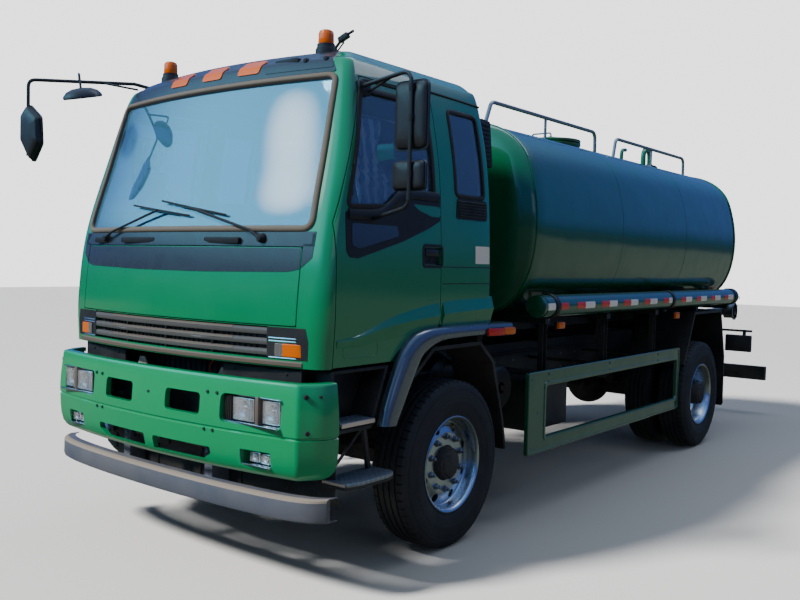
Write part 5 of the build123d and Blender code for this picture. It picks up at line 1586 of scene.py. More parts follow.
        # The sill's bronze colour is a painted highlight along it
        section = ((0.004, 1.222), (-0.006, 1.228), (-0.007, 1.246), (0.002, 1.256), (0.02, 1.256),
                   (0.02, 1.222))
        sill = Shape().loft(swept((-1.02, 1.02), 30, lambda x: nose_station(x, 1.23), section))
        sill.paint("bronze_trim_and_highlight").place("nose_sill", "cab")
        return {"FINISHED"}


class TANKER_OT_roof(bpy.types.Operator):
    """Shapes the roof's front panel, lamps, beacons and antenna"""

    bl_idname = "tanker.roof"
    bl_label = "Roof"

    def execute(self, context):
        outline = ((-0.945, 2.824), (0.945, 2.824), (0.85, 2.972), (-0.85, 2.972))
        panel = skin_patch(outline, "Y", ROOF_DEPTH, -0.004, 0.003, 0.01)
        place_carved("roof_panel", "nose_band", "cab", panel, smooth=30)
        outline = ((0.45, 2.85), (0.925, 2.85), (0.84, 2.962), (0.45, 2.962))
        plate = skin_patch(outline, "Y", ROOF_DEPTH, -0.0065, -0.003, 0.012)
        place_carved("roof_plate", "nose_band", "cab", plate, smooth=30)
        lamps = Shape()
        for x in (-0.322, 0.005, 0.317):
            base = [(x - 0.086, 2.862), (x + 0.086, 2.862), (x + 0.082, 2.952), (x - 0.082, 2.952)]
            lamps.bm.from_mesh(skin_patch(base, "Y", ROOF_DEPTH, -0.009, -0.001, 0.02))
        lamps.paint("lamp_amber").place("roof_markers", "cab", "lamp_amber", ("roof_lamps",), 40)
        beacons = Shape()
        for side in SIDES:
            spot = at(side * 0.715, -0.79, 2.93)
            base = ((0.0, 0.0), (0.0, 0.062), (0.07, 0.06), (0.085, 0.052), (0.1, 0.052), (0.1, 0.0))
            beacons.lathe(base, spot, "Z", 28).paint("plastic_black")
            dome = ((0.1, 0.0), (0.1, 0.044), (0.104, 0.046), (0.165, 0.044), (0.176, 0.038), (0.182, 0.026),
                    (0.184, 0.0))
            beacons.lathe(dome, spot, "Z", 28).paint("lamp_amber")
            beacons.rod((0.104, 0.15), 0.03, spot, "Z", 16).paint("lamp_red")
        beacons.place("roof_beacons", "cab", "lamp_amber", ("beacons",))
        extra = Shape()
        extra.tube(((0.80, -0.80, 2.96), (0.80, -0.80, 3.0), (0.865, -0.80, 3.055), (0.93, -0.80, 3.075)),
                   0.008, 0.02, 2)
        extra.box((0.775, 0.83), (-0.83, -0.77), (2.93, 2.965), 0.006)
        extra.prism(((0.83, 3.02), (0.9, 3.045), (0.885, 3.075), (0.82, 3.05)), "Y", (-0.815, -0.785), 0.005)
        extra.tube(((0.74, -0.74, 2.98), (0.86, -0.8, 3.02)), 0.005, 0, 1)
        vent = rounded(rectangle((0.485, 0.668), (2.898, 2.93)), 0.014)
        f = nose_station(0.576, 2.914)
        extra.prism(vent, "Y", (f - 0.012, f + 0.02), 0.003)
        for x in (0.717, 0.85):
            f = nose_station(x, 2.905)
            camera = ((-0.018, 0.0), (-0.018, 0.011), (-0.008, 0.018), (0.02, 0.018))
            extra.lathe(camera, at(x, f, 2.905), "Y", 18)
        extra.paint("plastic_black").place("roof_fittings", "cab", "plastic_black")
        return {"FINISHED"}


def add_mirror_case(shape, corners, station, depth, bend=0.04):
    """Rounded mirror head: black housing that bulges to the front, with the glass facing the rear."""
    outline = rounded(corners, bend)
    middle_x, middle_z = [sum(values) / len(corners) for values in zip(*corners)]
    rings = []
    for offset, scale in ((depth / 2, 1.0), (depth / 2 - 0.014, 1.0), (depth / 2 - 0.014, 0.94),
                          (-depth * 0.05, 0.94), (-depth * 0.35, 0.91), (-depth * 0.62, 0.82),
                          (-depth * 0.75, 0.62), (-depth * 0.8, 0.3)):
        rings.append([at(middle_x + (a - middle_x) * scale, station + offset,
                         middle_z + (b - middle_z) * scale) for a, b in outline])
    shape.loft(rings)
    shape.paint("mirror_case")
    inner = [(middle_x + (a - middle_x) * 0.9, middle_z + (b - middle_z) * 0.94) for a, b in outline]
    shape.prism(inner, "Y", (station + depth / 2 - 0.004, station + depth / 2 + 0.002)).paint("mirror_glass")


class TANKER_OT_mirrors(bpy.types.Operator):
    """Shapes the mirrors, their hooped arms and clamps"""

    bl_idname = "tanker.mirrors"
    bl_label = "Mirrors"

    def execute(self, context):
        left = Shape()
        add_mirror_case(left, rectangle((1.272, 1.488), (2.375, 2.745)), -0.84, 0.032)
        add_mirror_case(left, rectangle((1.262, 1.48), (2.165, 2.325)), -0.84, 0.032, bend=0.03)
        left.tube(((1.03, -0.86, 2.742), (1.4, -0.874, 2.79), (1.4, -0.874, 2.08), (1.13, -0.86, 2.015)),
                  0.0115, 0.06)
        left.paint("mirror_case")
        left.tube(((1.03, -0.8, 2.715), (1.24, -0.85, 2.77)), 0.007, 0, 2)
        for z in (2.545, 2.25, 2.7, 2.13):
            left.rod((-0.018, 0.018), 0.016, at(1.4, -0.872, z), "Z", 14)
        left.box((1.02, 1.06), (-0.89, -0.79), (2.70, 2.775), 0.008)
        left.box((1.115, 1.15), (-0.89, -0.81), (1.99, 2.04), 0.008)
        left.paint("plastic_black").place("left_mirrors", "door_left", "mirror_case", ("mirror_left",))
        right = Shape()
        leaf = ((-1.345, 2.39), (-1.235, 2.52), (-1.25, 2.7), (-1.4, 2.8), (-1.475, 2.74), (-1.478, 2.55))
        add_mirror_case(right, leaf, -1.44, 0.042, bend=0.04)
        right.tube(((-0.9, -0.66, 2.94), (-1.04, -0.85, 2.99), (-1.4, -1.44, 2.96), (-1.4, -1.44, 2.45)),
                   0.012, 0.05)
        right.tube(((-1.23, -1.161, 2.974), (-1.0, -1.31, 2.98), (-0.97, -1.31, 2.85)), 0.008, 0.04)
        right.tube(((-0.93, -0.9, 2.93), (-1.15, -1.03, 2.978)), 0.007, 0, 2)
        right.paint("mirror_case")
        bowl = ((0.0, 0.0), (0.0, 0.12), (0.008, 0.125), (0.02, 0.122), (0.045, 0.1), (0.062, 0.06),
                (0.068, 0.0))
        right.lathe(bowl, at(-0.95, -1.31, 2.81), Vector((0.05, -0.25, 0.95)).normalized(), 28)
        right.box((-0.95, -0.88), (-0.72, -0.6), (2.915, 2.975), 0.01)
        right.paint("mirror_case").place("right_mirrors", "cab", "mirror_case", ("mirror_right",))
        return {"FINISHED"}


# ---------------------------------------------------------------- cab sides

# Wheel-arch flare along the cab: its upper and lower edges, as (station, z)
FLARE_TOP = ((-0.768, 0.872), (-0.722, 1.01), (-0.628, 1.205), (-0.55, 1.318), (-0.43, 1.385),
             (-0.215, 1.406),
             (0.409, 1.408), (0.6, 1.404))
FLARE_LOW = ((-0.652, 0.866), (-0.584, 0.976), (-0.458, 1.18), (-0.385, 1.262), (-0.226, 1.318), (0.0, 1.33),
             (0.4, 1.332), (0.6, 1.334))
# Section of the flare: x and share of the way from its upper to its lower edge
FLARE_SECTION = ((1.135, 0.0), (1.16, 0.0), (1.178, 0.04), (1.19, 0.14), (1.196, 0.4), (1.198, 0.75),
                 (1.194, 0.92),
                 (1.184, 1.0), (1.145, 1.0), (1.145, 0.93))
# Ledge pressed along the side: station, its upper edge and its fullest line
LEDGE = ((-1.13, 1.366, 1.362), (-0.97, 1.390, 1.376), (-0.75, 1.462, 1.42), (-0.54, 1.514, 1.448),
         (-0.3, 1.553, 1.468), (-0.054, 1.573, 1.486), (0.2, 1.579, 1.496), (0.385, 1.58, 1.502))


def smooth_line(points, steps=5):
    """Points of a smooth open curve through the given ones."""
    spots = [Vector((*p, 0)) if len(p) == 2 else Vector(p) for p in points]
    line = []
    for i in range(len(spots) - 1):
        p = [spots[max(i - 1, 0)], spots[i], spots[i + 1], spots[min(i + 2, len(spots) - 1)]]
        line += [curve_point(p, step / steps) for step in range(steps)]
    return line + [spots[-1]]


def add_ledge(shape, side, limits):
    """Part of the pressed ledge between two stations."""
    rings = []
    for f, top, full in smooth_line(LEDGE, 6):
        if limits[0] <= f <= limits[1]:
            share = min(1.0, (f + 1.14) / 0.5)
            low = full - 0.05 - 0.05 * share
            bulge = 0.004 + 0.016 * share
            middle, foot = cab_half(full), cab_half(low)
            section = ((cab_half(top) - 0.003, top), (middle + bulge - 0.003, full + 0.008),
                       (middle + bulge, full),
                       (middle + bulge * 0.75, full - 0.014), (foot + bulge * 0.3, (low + full) / 2 - 0.01),
                       (foot - 0.003, low), (foot - 0.015, full))
            rings.append([at(side * x, f, z) for x, z in section])
    shape.loft(rings)


class TANKER_OT_cab_trim(bpy.types.Operator):
    """Adds the arch flares, side lamps, panes, louvres, intake and pressed lines of the cab"""

    bl_idname = "tanker.cab_trim"
    bl_label = "Cab trim"

    def execute(self, context):
        flares, lamps, ledges, trim = Shape(), Shape(), Shape(), Shape()
        for side in SIDES:
            rings = []
            for top, low in zip(smooth_line(FLARE_TOP), smooth_line(FLARE_LOW)):
                rings.append([at(side * x, top.x + (low.x - top.x) * s, top.y + (low.y - top.y) * s)
                              for x, s in FLARE_SECTION])
            flares.loft(rings)
            capsule = rounded(((0.262, 1.322), (0.615, 1.316), (0.615, 1.374), (0.262, 1.38)), 0.026)
            capsule = [(a + (0.004 if a > 0.5 else -0.004), b) for a, b in capsule]
            lamps.prism(capsule, "X", (side * 1.18, side * 1.204), 0.004)
            lamps.paint("plastic_black")
            split = 0.47
            for finish, f in (("lamp_red", (0.268, split)), ("lamp_amber", (split, 0.609))):
                outline = rounded(((f[0], 1.327), (f[1], 1.322), (f[1], 1.37), (f[0], 1.375)), 0.02)
                lamps.prism(outline, "X", (side * 1.196, side * 1.214), 0.006, 3).paint(finish)
            add_ledge(ledges, side, (-0.19, 0.5))
            # Louvre below the quarter window
            louvre = rounded(((-0.04, 2.062), (0.318, 2.062), (0.318, 2.192), (-0.022, 2.192)), 0.03)
            rings = [[on_side(side, f, z, p) for f, z in louvre] for p in (-0.01, 0.004)]
            trim.loft(rings)
            for i in range(6):
                z = 2.079 + 0.018 * i
                blade = ((0.0, 0.0), (0.0, 0.010), (0.005, 0.012), (0.011, 0.0))
                ends = (-0.012 - 0.002 * i, 0.3)
                trim.loft([[on_side(side, f, z + b, c) for b, c in blade] for f in ends])
            trim.paint("plastic_black")
            gutter = [(side * (cab_half(z) + 0.002), f, z)
                      for f, z in ((-0.195, 2.826), (0.1, 2.822), (0.36, 2.815))]
            trim.tube(gutter, 0.007, 0, 1)
            for z in (1.765, 1.663):
                trim.tube([(side * (cab_half(z) - 0.0005), f, z) for f in (-0.18, 0.1, 0.37)], 0.003, 0, 1)
            trim.paint("trim_rubber")
        # The flares' blue tint is a painted sky reflection
        flares.paint("flare_grey_sky_blue").place("arch_bands", "cab", "plastic_black", ("arch_flares",), 40)
        lamps.place("arch_lamps", "cab", "lamp_amber", smooth=40)
        ledges.paint("body_green").place("cab_ledges", "cab", "body_green", smooth=24)

        # Air intake behind the cab's left corner, its rubber joint and the blank card on the side
        intake = rounded(((0.43, 2.46), (0.60, 2.44), (0.555, 2.75), (0.43, 2.76)), 0.02)
        trim.prism(intake, "X", (0.90, 1.0), 0.008)
        for i in range(9):
            z = 2.49 + 0.028 * i
            trim.box((0.995, 1.006), (0.45, 0.57 - 0.0035 * i), (z, z + 0.012), 0.002)
        trim.paint("plastic_black")
        trim.tube(((0.95, 0.5, 2.46), (0.95, 0.5, 2.1), (0.9, 0.47, 1.55)), 0.055, 0.3, 6)
        for i in range(16):
            trim.lathe(((-0.006, 0.05), (0.0, 0.064), (0.006, 0.05)), at(0.95, 0.5, 2.12 + 0.02 * i), "Z", 20)
        trim.paint("hose_rubber")
        card = rounded(rectangle((0.18, 0.345), (1.788, 1.9)), 0.006)
        trim.loft([[on_side(1, f, z, p) for f, z in card] for p in (-0.002, 0.0015)])
        trim.paint("panel_white").place("cab_fittings", "cab", "plastic_black", smooth=35)

        panes = Shape()
        for side in SIDES:
            panes.bm.from_mesh(skin_patch(QUARTER_PANE, "X", across(side, *SIDE_REACH), 0.006, 0.011, 0.038))
        panes.prism(rounded(rectangle((-0.448, 0.448), (2.152, 2.648)), 0.058), "Y", (0.38, 0.386))
        panes.paint("window_glass").place("cab_panes", "cab", "glass", ("cab_glass",), 40)
        return {"FINISHED"}


GARNISH = ((-1.076, 1.845), (-1.05, 1.808), (-0.985, 1.802), (-0.582, 1.906), (-0.34, 1.986), (-0.212, 2.04),
           (-0.212, 2.185), (-0.56, 2.168), (-0.64, 2.1), (-0.8, 2.05), (-1.08, 2.05))
GARNISH_NOTCH = ((-0.49, 2.125), (-0.212, 2.125), (-0.212, 2.06), (-0.305, 2.062), (-0.42, 2.09))
WINDOW_BAND = ((-1.056, 2.037), (-0.9, 2.04), (-0.79, 2.055), (-0.7, 2.1), (-0.62, 2.155), (-0.52, 2.176),
               (-0.4, 2.18), (-0.225, 2.18))
BAND_SECTION = ((-0.03, 0.0), (-0.026, 0.009), (-0.012, 0.013), (0.012, 0.013), (0.026, 0.008), (0.03, 0.0),
                (0.0, -0.01))
VISION_PANE = ((-1.03, 1.87), (-0.97, 1.855), (-0.62, 1.935), (-0.64, 1.99), (-1.03, 1.99))


class TANKER_OT_door_trim(bpy.types.Operator):
    """Adds the doors' black garnish, window bands, lower panes, handles and ledges"""

    bl_idname = "tanker.door_trim"
    bl_label = "Door trim"

    def execute(self, context):
        for name, side in DOORS:
            limits = [side * x for x in SIDE_REACH]
            notch = outline_prism(GARNISH_NOTCH, "X", limits, 0.01)
            black = skin_patch(GARNISH, "X", limits, -0.003, 0.002, 0.012, cuts=(notch,))
            place_carved(name + "_garnish", "plastic_black", name, black, smooth=30)
            pane = skin_patch(VISION_PANE, "X", limits, -0.0045, -0.002, 0.02)
            place_carved(name + "_lower_pane", "dark_glass", name, pane, smooth=30)
            shape = Shape()
            shape.loft([[on_side(side, spot.x, spot.y + b, c) for b, c in BAND_SECTION]
                        for spot in smooth_line(WINDOW_BAND, 5)])
            recess = spaced(rounded(rectangle((-0.385, -0.19), (1.765, 1.89)), 0.022), 0.03)
            shape.ring(flat_line(side, recess),
                       ((-0.008, -0.01), (-0.008, 0.003), (0.008, 0.003), (0.008, -0.01)))
            bowl = rounded(rectangle((-0.368, -0.207), (1.782, 1.873)), 0.018)
            shape.prism(bowl, "X", (side * 1.128, side * 1.131)).paint("plastic_black")
            grip = rounded(rectangle((-0.36, -0.22), (1.828, 1.868)), 0.012)
            shape.prism(grip, "X", (side * 1.134, side * 1.149), 0.004)
            lock = ((0.0, 0.0), (0.0, 0.009), (0.004, 0.008), (0.004, 0.0))
            shape.lathe(lock, at(side * 1.131, -0.29, 1.802), out_to(side), 16)
            shape.paint("mirror_case")
            top_rail = [(side * (cab_half(z) + 0.001), f, z) for f, z in
                        ((-1.0, 2.3), (-0.9, 2.68), (-0.86, 2.782), (-0.75, 2.79), (-0.21, 2.79))]
            shape.tube(top_rail, 0.009, 0.06, 1)
            shape.paint("trim_rubber").place(name + "_fittings", name, smooth=40)
            ledge = Shape()
            add_ledge(ledge, side, (-1.13, -0.215))
            pressing = spaced(rounded(rectangle((-1.075, -0.785), (1.268, 1.348)), 0.034), 0.04)
            bead = ((-0.005, -0.004), (-0.002, 0.0022), (0.002, 0.0022), (0.005, -0.004))
            ledge.ring(flat_line(side, pressing), bead)
            ledge.paint("body_green").place(name + "_ledge", name, "body_green", smooth=24)
        return {"FINISHED"}


class TANKER_OT_steps(bpy.types.Operator):
    """Shapes the step wells, treads, hangers and lower steps"""

    bl_idname = "tanker.steps"
    bl_label = "Cab steps"

    def execute(self, context):
        dark, treads = Shape(), Shape()
        for side in SIDES:
            # Well: back wall, floor, rear end, the rounded front post, the roof and a stay
            for outline, inner, outer in (
                (((-1.15, 0.87), (-0.81, 0.87), (-0.675, 1.205), (-1.15, 1.205)), 0.94, 0.96),
                (((-1.15, 0.862), (-0.80, 0.862), (-0.794, 0.885), (-1.15, 0.885)), 0.945, 1.125),
                (((-0.814, 0.87), (-0.79, 0.87), (-0.655, 1.205), (-0.679, 1.205)), 0.945, 1.125),
            ):
                dark.prism(outline, "X", (side * inner, side * outer), 0.004)
            dark.box(across(side, 0.945, 1.128), (-1.153, -1.118), (0.865, 1.205), 0.012, 3)
            dark.box(across(side, 0.945, 1.12), (-1.14, -0.68), (1.185, 1.205), 0.004)
            dark.box(across(side, 0.353, 0.95), (-0.955, -0.885), (0.932, 0.962), 0.004)
            # Hangers of the lower step, with a brace between them, and its tray
            for outline in (((-1.04, 0.6), (-1.008, 0.6), (-1.008, 0.88), (-1.04, 0.88)),
                            ((-0.70, 0.6), (-0.672, 0.6), (-0.73, 0.88), (-0.76, 0.88))):
                dark.prism(outline, "X", (side * 1.0, side * 1.026), 0.003)
            dark.tube(((side * 1.013, -1.02, 0.62), (side * 1.013, -0.74, 0.85)), 0.009, 0, 2)
            tray = ((0.985, -1.058), (1.165, -1.058), (1.19, -0.96), (1.19, -0.72), (1.165, -0.628),
                    (0.985, -0.628))
            tray = rounded([(side * x, f) for x, f in tray], 0.05)
            dark.prism(tray, "Z", (0.562, 0.578), 0.004).paint("chassis_black")
            treads.prism(tray, "Z", (0.579, 0.599), 0.006, 3)
            treads.box(across(side, 1.0, 1.14), (-1.072, -0.792), (0.902, 0.922), 0.005)
            treads.paint("tread_plate")
            treads.box(across(side, 1.137, 1.1435), (-1.072, -0.792), (0.896, 0.92), 0.002)
            nosing = rectangle((side * 1.0, side * 1.16), (-1.0585, -1.062))
            treads.prism(nosing, "Z", (0.582, 0.596))
            treads.paint("step_nosing")
            for f in (-0.99, -0.86, -0.72):
                dark.bolt(at(side * 1.03, f, 0.562), DOWN, 0.009, 0.009)
            dark.paint("nut_steel")
        dark.place("step_wells", "chassis", "chassis_black", ("cab_steps",), 35)
        treads.place("step_treads", "chassis", "tread_plate", smooth=35)
        return {"FINISHED"}


# Seats: middle, half width, top of the back
SEATS = ((-0.6, 0.25, 2.48), (0.0, 0.21, 2.38), (0.6, 0.25, 2.48))
SEAT_LEAN = 82
CURTAIN_TOP, CURTAIN_DROP = 2.6, 0.5


def crowned(shape, limits, seams=0, swell=0.02, place=None):
    """Adds a stuffed block between limits, with crowned faces and sewn channels across its top."""
    (x0, x1), (f0, f1), (z0, z1) = limits
    low, high = at(x0, f0, z0), at(x1, f1, z1)
    middle, size = (low + high) / 2, (high - low) / 2
    pad = bmesh.new()
    bmesh.ops.create_cube(pad, size=2)
    bmesh.ops.subdivide_edges(pad, edges=pad.edges[:], cuts=15, use_grid_fill=True)
    for v in pad.verts:
        p = v.co.copy()
        edge = [1 - abs(c) ** 6 for c in p]
        reach = (0.93 + 0.07 * edge[1] * edge[2], 0.93 + 0.07 * edge[0] * edge[2],
                 0.9 + 0.1 * edge[0] * edge[1])
        spot = Vector([m + (c * 0.9 + c / p.length * 0.1) * r * s
                       for m, c, r, s in zip(middle, p, reach, size)])
        spot.z += swell * edge[0] * edge[1] * (1 if p.z > 0 else -0.3)
        if seams and p.z > 0.9:
            off = abs(((p.y * 0.5 + 0.5) * (seams + 1)) % 1.0 - 0.5)
            spot.z -= 0.012 * max(0.0, 1 - (0.5 - off) * 7)
        v.co = place @ spot if place else spot
    mesh = bpy.data.meshes.new("pad")
    pad.to_mesh(mesh)
    pad.free()
    shape.bm.from_mesh(mesh)
    bpy.data.meshes.remove(mesh)


class TANKER_OT_interior(bpy.types.Operator):
    """Fills the cabin: padded seats, curtains, dashboard, wheel and fan"""

    bl_idname = "tanker.interior"
    bl_label = "Interior"

    def execute(self, context):
        cushions, backs, rests = Shape(), Shape(), Shape()
        for x, half, top in SEATS:
            crowned(cushions, (about(x, half), (-0.46, 0.03), (1.66, 1.81)), 3)
            hinge = at(x, 0.08, (1.79 + top) / 2)
            lean = Matrix.Rotation(radians(SEAT_LEAN), 4, "X")
            upright = Matrix.Translation(hinge) @ lean @ Matrix.Translation(-at(x, 0, 0))
            crowned(backs, (about(x, half), (-0.35, 0.35), (-0.065, 0.065)), 4, 0.014, upright)
            crowned(rests, (about(x, 0.13), (0.15, 0.235), (top + 0.012, top + 0.19)), 0, 0.006)
        for shape, name, nodes in ((cushions, "seat_cushions", ("seats",)), (backs, "seat_backs", ()),
                                   (rests, "headrests", ())):
            piece = shape.paint("seat_cloth").place(name, "cab", "seat_cloth", nodes, 60)
            soft = piece.modifiers.new("smooth", "SUBSURF")
            soft.levels = soft.render_levels = 1
        frame_parts = Shape()
        for x, half, top in SEATS:
            plinth = ((-0.42, 1.471), (0.0, 1.471), (0.02, 1.67), (-0.45, 1.67))
            frame_parts.prism(plinth, "X", (x - half + 0.02, x + half - 0.02), 0.012)
            for side in (-0.06, 0.06):
                frame_parts.tube(((x + side, 0.17, top - 0.06), (x + side, 0.19, top + 0.06)), 0.007, 0, 2)
        frame_parts.paint("plastic_black")
        # Fan above the windscreen's right half, on its arm, and rear-view items
        spot = at(-0.66, -0.86, 2.52)
        out = Vector((0.2, -0.95, 0.1)).normalized()
        for radius in (0.03, 0.055, 0.08, 0.1):
            wire = [(0.02 - radius * 0.2 + 0.0018 * sin(a), radius + 0.0018 * cos(a))
                    for a in (0, pi / 2, pi, 3 * pi / 2)]
            frame_parts.lathe(wire, spot, out, 28, closed=True)
        motor = ((-0.05, 0.0), (-0.05, 0.03), (0.0, 0.034), (0.015, 0.02), (0.018, 0.0))
        frame_parts.lathe(motor, spot, out, 20)
        frame_parts.tube(((-0.66, -0.82, 2.52), (-0.72, -0.78, 2.66), (-0.74, -0.8, 2.9)), 0.009, 0.04, 2)
        frame_parts.tube(((-0.3, -0.9, 2.58), (-0.55, -0.9, 2.6)), 0.006, 0, 2)
        frame_parts.paint("grille_grey")
        bottle = ((-0.17, 0.0), (-0.17, 0.06), (-0.15, 0.078), (0.15, 0.078), (0.17, 0.06), (0.17, 0.0))
        frame_parts.lathe(bottle, at(-0.72, -0.93, 2.2), Vector((0.25, 0.1, 0.96)).normalized(), 24)
        frame_parts.paint("guard_green")
        frame_parts.place("cabin_fittings", "cab", "plastic_black", smooth=40)

        for side, word in ((1, "left"), (-1, "right")):
            curtain = Shape()
            columns, rows = 64, 18
            grid = []
            for r in range(rows + 1):
                z = CURTAIN_TOP - CURTAIN_DROP * r / rows
                pull = 1 - 0.28 * sin(pi * min(1.0, r / rows * 1.2)) ** 2
                row = []
                for c in range(columns + 1):
                    s = c / columns
                    fold = 0.012 * sin(s * 2 * pi * 9 + 0.5 * sin(r * 0.35)) * (0.6 + 0.4 * r / rows)
                    f = -0.93 + (0.34 * s + 0.1 * (r / rows)) * pull
                    row.append(curtain.bm.verts.new(at(side * (cab_half(z) - 0.115 + fold), f, z)))
                grid.append(row)
            for r in range(rows):
                for c in range(columns):
                    curtain.bm.faces.new((grid[r][c], grid[r][c + 1], grid[r + 1][c + 1], grid[r + 1][c]))
            area = sum(face.calc_area() for face in curtain.bm.faces)
            piece = curtain.paint("curtain_blue").place("curtain_" + word, "cab", smooth=180)
            thick = piece.modifiers.new("cloth", "SOLIDIFY")
            thick.thickness = 0.0012
        rods = Shape()
        for side in SIDES:
            x = side * (cab_half(CURTAIN_TOP) - 0.115)
            rods.tube(((x, -0.95, 2.61), (x, -0.4, 2.61)), 0.006, 0, 2)
            for f in (-0.95, -0.4):
                rods.box(sorted((x, x + side * 0.075)), about(f, 0.01), (2.6, 2.625), 0.003)
        rods.paint("nut_steel").place("curtain_rods", "cab", smooth=40)

        dash = Shape()
        section = ((-1.13, 1.6), (-1.0, 1.6), (-0.86, 1.72), (-0.825, 1.89), (-0.86, 1.935), (-0.93, 1.945),
                   (-1.13, 1.93))
        dash.prism(section, "X", (-0.99, 0.99), 0.015, 3)
        dash.prism(((-0.96, 1.93), (-0.83, 1.93), (-0.82, 2.0), (-0.87, 2.03), (-0.93, 2.02)), "X",
                   (0.36, 0.86), 0.02, 3)
        dash.paint("lining_grey")
        for x in (-0.65, -0.45, -0.1, 0.15):
            dash.prism(rounded(rectangle(about(x, 0.07), (1.8, 1.87)), 0.012), "Y", (-0.86, -0.838), 0.003)
        dash.paint("plastic_black").place("dash_panel", "cab", "plastic_black", ("dashboard",), 40)

        column = Shape()
        hub = at(0.6, -0.64, 2.01)
        axis = Vector((0, 0.447, 0.894))
        turns = [2 * pi * i / 12 for i in range(12)]
        grip = [(0.016 * sin(a), 0.225 + 0.016 * cos(a)) for a in turns]
        column.lathe(grip, hub, axis, 48, closed=True)
        column.lathe(((-0.03, 0.0), (-0.03, 0.055), (0.0, 0.062), (0.018, 0.05), (0.022, 0.0)), hub, axis, 28)
        column.lathe(((-0.36, 0.0), (-0.36, 0.034), (-0.03, 0.028), (-0.03, 0.0)), hub, axis, 20)
        sideways = AXES["X"]
        for direction in (sideways, -sideways, axis.cross(sideways)):
            rings = []
            for reach, half, thick in ((0.05, 0.03, 0.01), (0.12, 0.02, 0.008), (0.225, 0.016, 0.007)):
                wide = axis.cross(direction)
                rings.append([hub + direction * reach + wide * a + axis * b for a, b in
                              ((-half, -thick), (half, -thick), (half, thick), (-half, thick))])
            column.loft(rings)
        column.paint("plastic_black")
        column.place("wheel_and_column", "cab", "plastic_black", ("steering_wheel",), 50)
        return {"FINISHED"}


# ---------------------------------------------------------------- tank fittings and chassis

TUBE_X, TUBE_Z, TUBE_RADIUS = 1.15, 1.495, 0.083
TUBE_ENDS = (0.99, 5.44)
STRAPS = (1.18, 3.48, 5.33)
# Reflective tape along the tubes, as (front station, rear station, finish)
TAPES = (
    (1.03, 1.135, "tape_white"), (1.23, 1.34, "tape_red"), (1.484, 1.622, "tape_red"),
    (1.622, 1.789, "tape_white"), (1.916, 2.057, "tape_red"), (2.057, 2.207, "tape_white"),
    (2.338, 2.481, "tape_red"), (2.481, 2.633, "tape_white"), (2.776, 2.903, "tape_red"),
    (2.903, 3.063, "tape_white"), (3.22, 3.348, "tape_red"), (3.348, 3.43, "tape_white"),
    (3.67, 3.79, "tape_red"), (3.79, 3.95, "tape_white"), (4.09, 4.21, "tape_red"),
    (4.21, 4.38, "tape_white"),
    (4.52, 4.64, "tape_red"), (4.64, 4.81, "tape_white"), (4.95, 5.07, "tape_red"),
    (5.07, 5.24, "tape_white"),
)


class TANKER_OT_tubes(bpy.types.Operator):
    """Shapes the hose tubes with their caps, straps and reflective tape"""

    bl_idname = "tanker.tubes"
    bl_label = "Hose tubes"

    def execute(self, context):
        reach = context.scene.tanker_sizes.tape_width / 2 / TUBE_RADIUS
        front, rear = TUBE_ENDS
        tubes, straps, tapes = Shape(), Shape(), Shape()
        for side in SIDES:
            centre = at(side * TUBE_X, 0, TUBE_Z)
            r = TUBE_RADIUS
            profile = ((front, 0.0), (front, r - 0.012), (front + 0.003, r - 0.006),
                       (front + 0.004, r - 0.003), (front + 0.042, r - 0.003), (front + 0.044, r - 0.004),
                       (front + 0.046, r), (rear - 0.062, r), (rear - 0.06, r + 0.006),
                       (rear - 0.03, r + 0.006), (rear - 0.027, r), (rear - 0.004, r - 0.001),
                       (rear, r - 0.006), (rear, 0.0))
            tubes.lathe(profile, centre, "Y", 48)
            for station, facing in ((front - 0.001, FORWARD), (rear + 0.001, -FORWARD)):
                boss = ((-0.002, 0.0), (-0.002, 0.03), (0.0, 0.029), (0.0, 0.0))
                tubes.lathe(boss, at(side * TUBE_X, station, TUBE_Z), facing, 24)
            tubes.paint("tank_green")
            for f in STRAPS:
                outline = ((f - 0.03, r - 0.001), (f - 0.03, r + 0.005), (f - 0.026, r + 0.0075),
                           (f + 0.026, r + 0.0075), (f + 0.03, r + 0.005), (f + 0.03, r - 0.001))
                straps.lathe(outline, centre, "Y", 40, closed=True)
                straps.box(across(side, 1.0, 1.075), about(f, 0.025), (1.472, 1.498), 0.004)
                for ear in ((1.13, 1.136), (1.145, 1.151)):
                    straps.box(across(side, *ear), about(f, 0.025), (1.385, 1.42), 0.002)
            straps.paint("chassis_black")
            for f in STRAPS:
                straps.bolt(at(side * 1.151, f, 1.398), out_to(side), 0.008, 0.008)
            # Latch of the rear cap
            straps.box(across(side, 1.215, 1.236), (rear - 0.09, rear - 0.015), (1.484, 1.506), 0.004)
            lever = ((1.24, rear - 0.085, 1.495), (1.252, rear - 0.05, 1.495), (1.24, rear - 0.01, 1.47))
            straps.tube([(side * x, f, z) for x, f, z in lever], 0.004, 0.01, 2)
            straps.paint("steel_grey")
            arc = [-reach + 2 * reach * i / 6 for i in range(7)]
            section = [(r + 0.0015, a) for a in arc] + [(r - 0.004, a) for a in reversed(arc)]
            for f0, f1, finish in TAPES:
                rings = [[centre + Vector((side * radius * cos(a), f, radius * sin(a)))
                          for radius, a in section] for f in (f0, f1)]
                tapes.loft(rings).paint(finish)
        tubes.place("hose_tube_skins", "chassis", "tank_green", ("hose_tubes",), 40)
        straps.place("tube_clamps", "chassis", "chassis_black", ("tube_straps",), 35)
        tapes.place("tube_tapes", "chassis", smooth=30)
        return {"FINISHED"}


# Side guard: the face of its rails along X, the recess pressed into it, and the hangers' stations
GUARD_FACE, GUARD_RECESS = 1.1815, 1.1745
GUARD_HANGERS = (1.18, 2.23, 3.28)


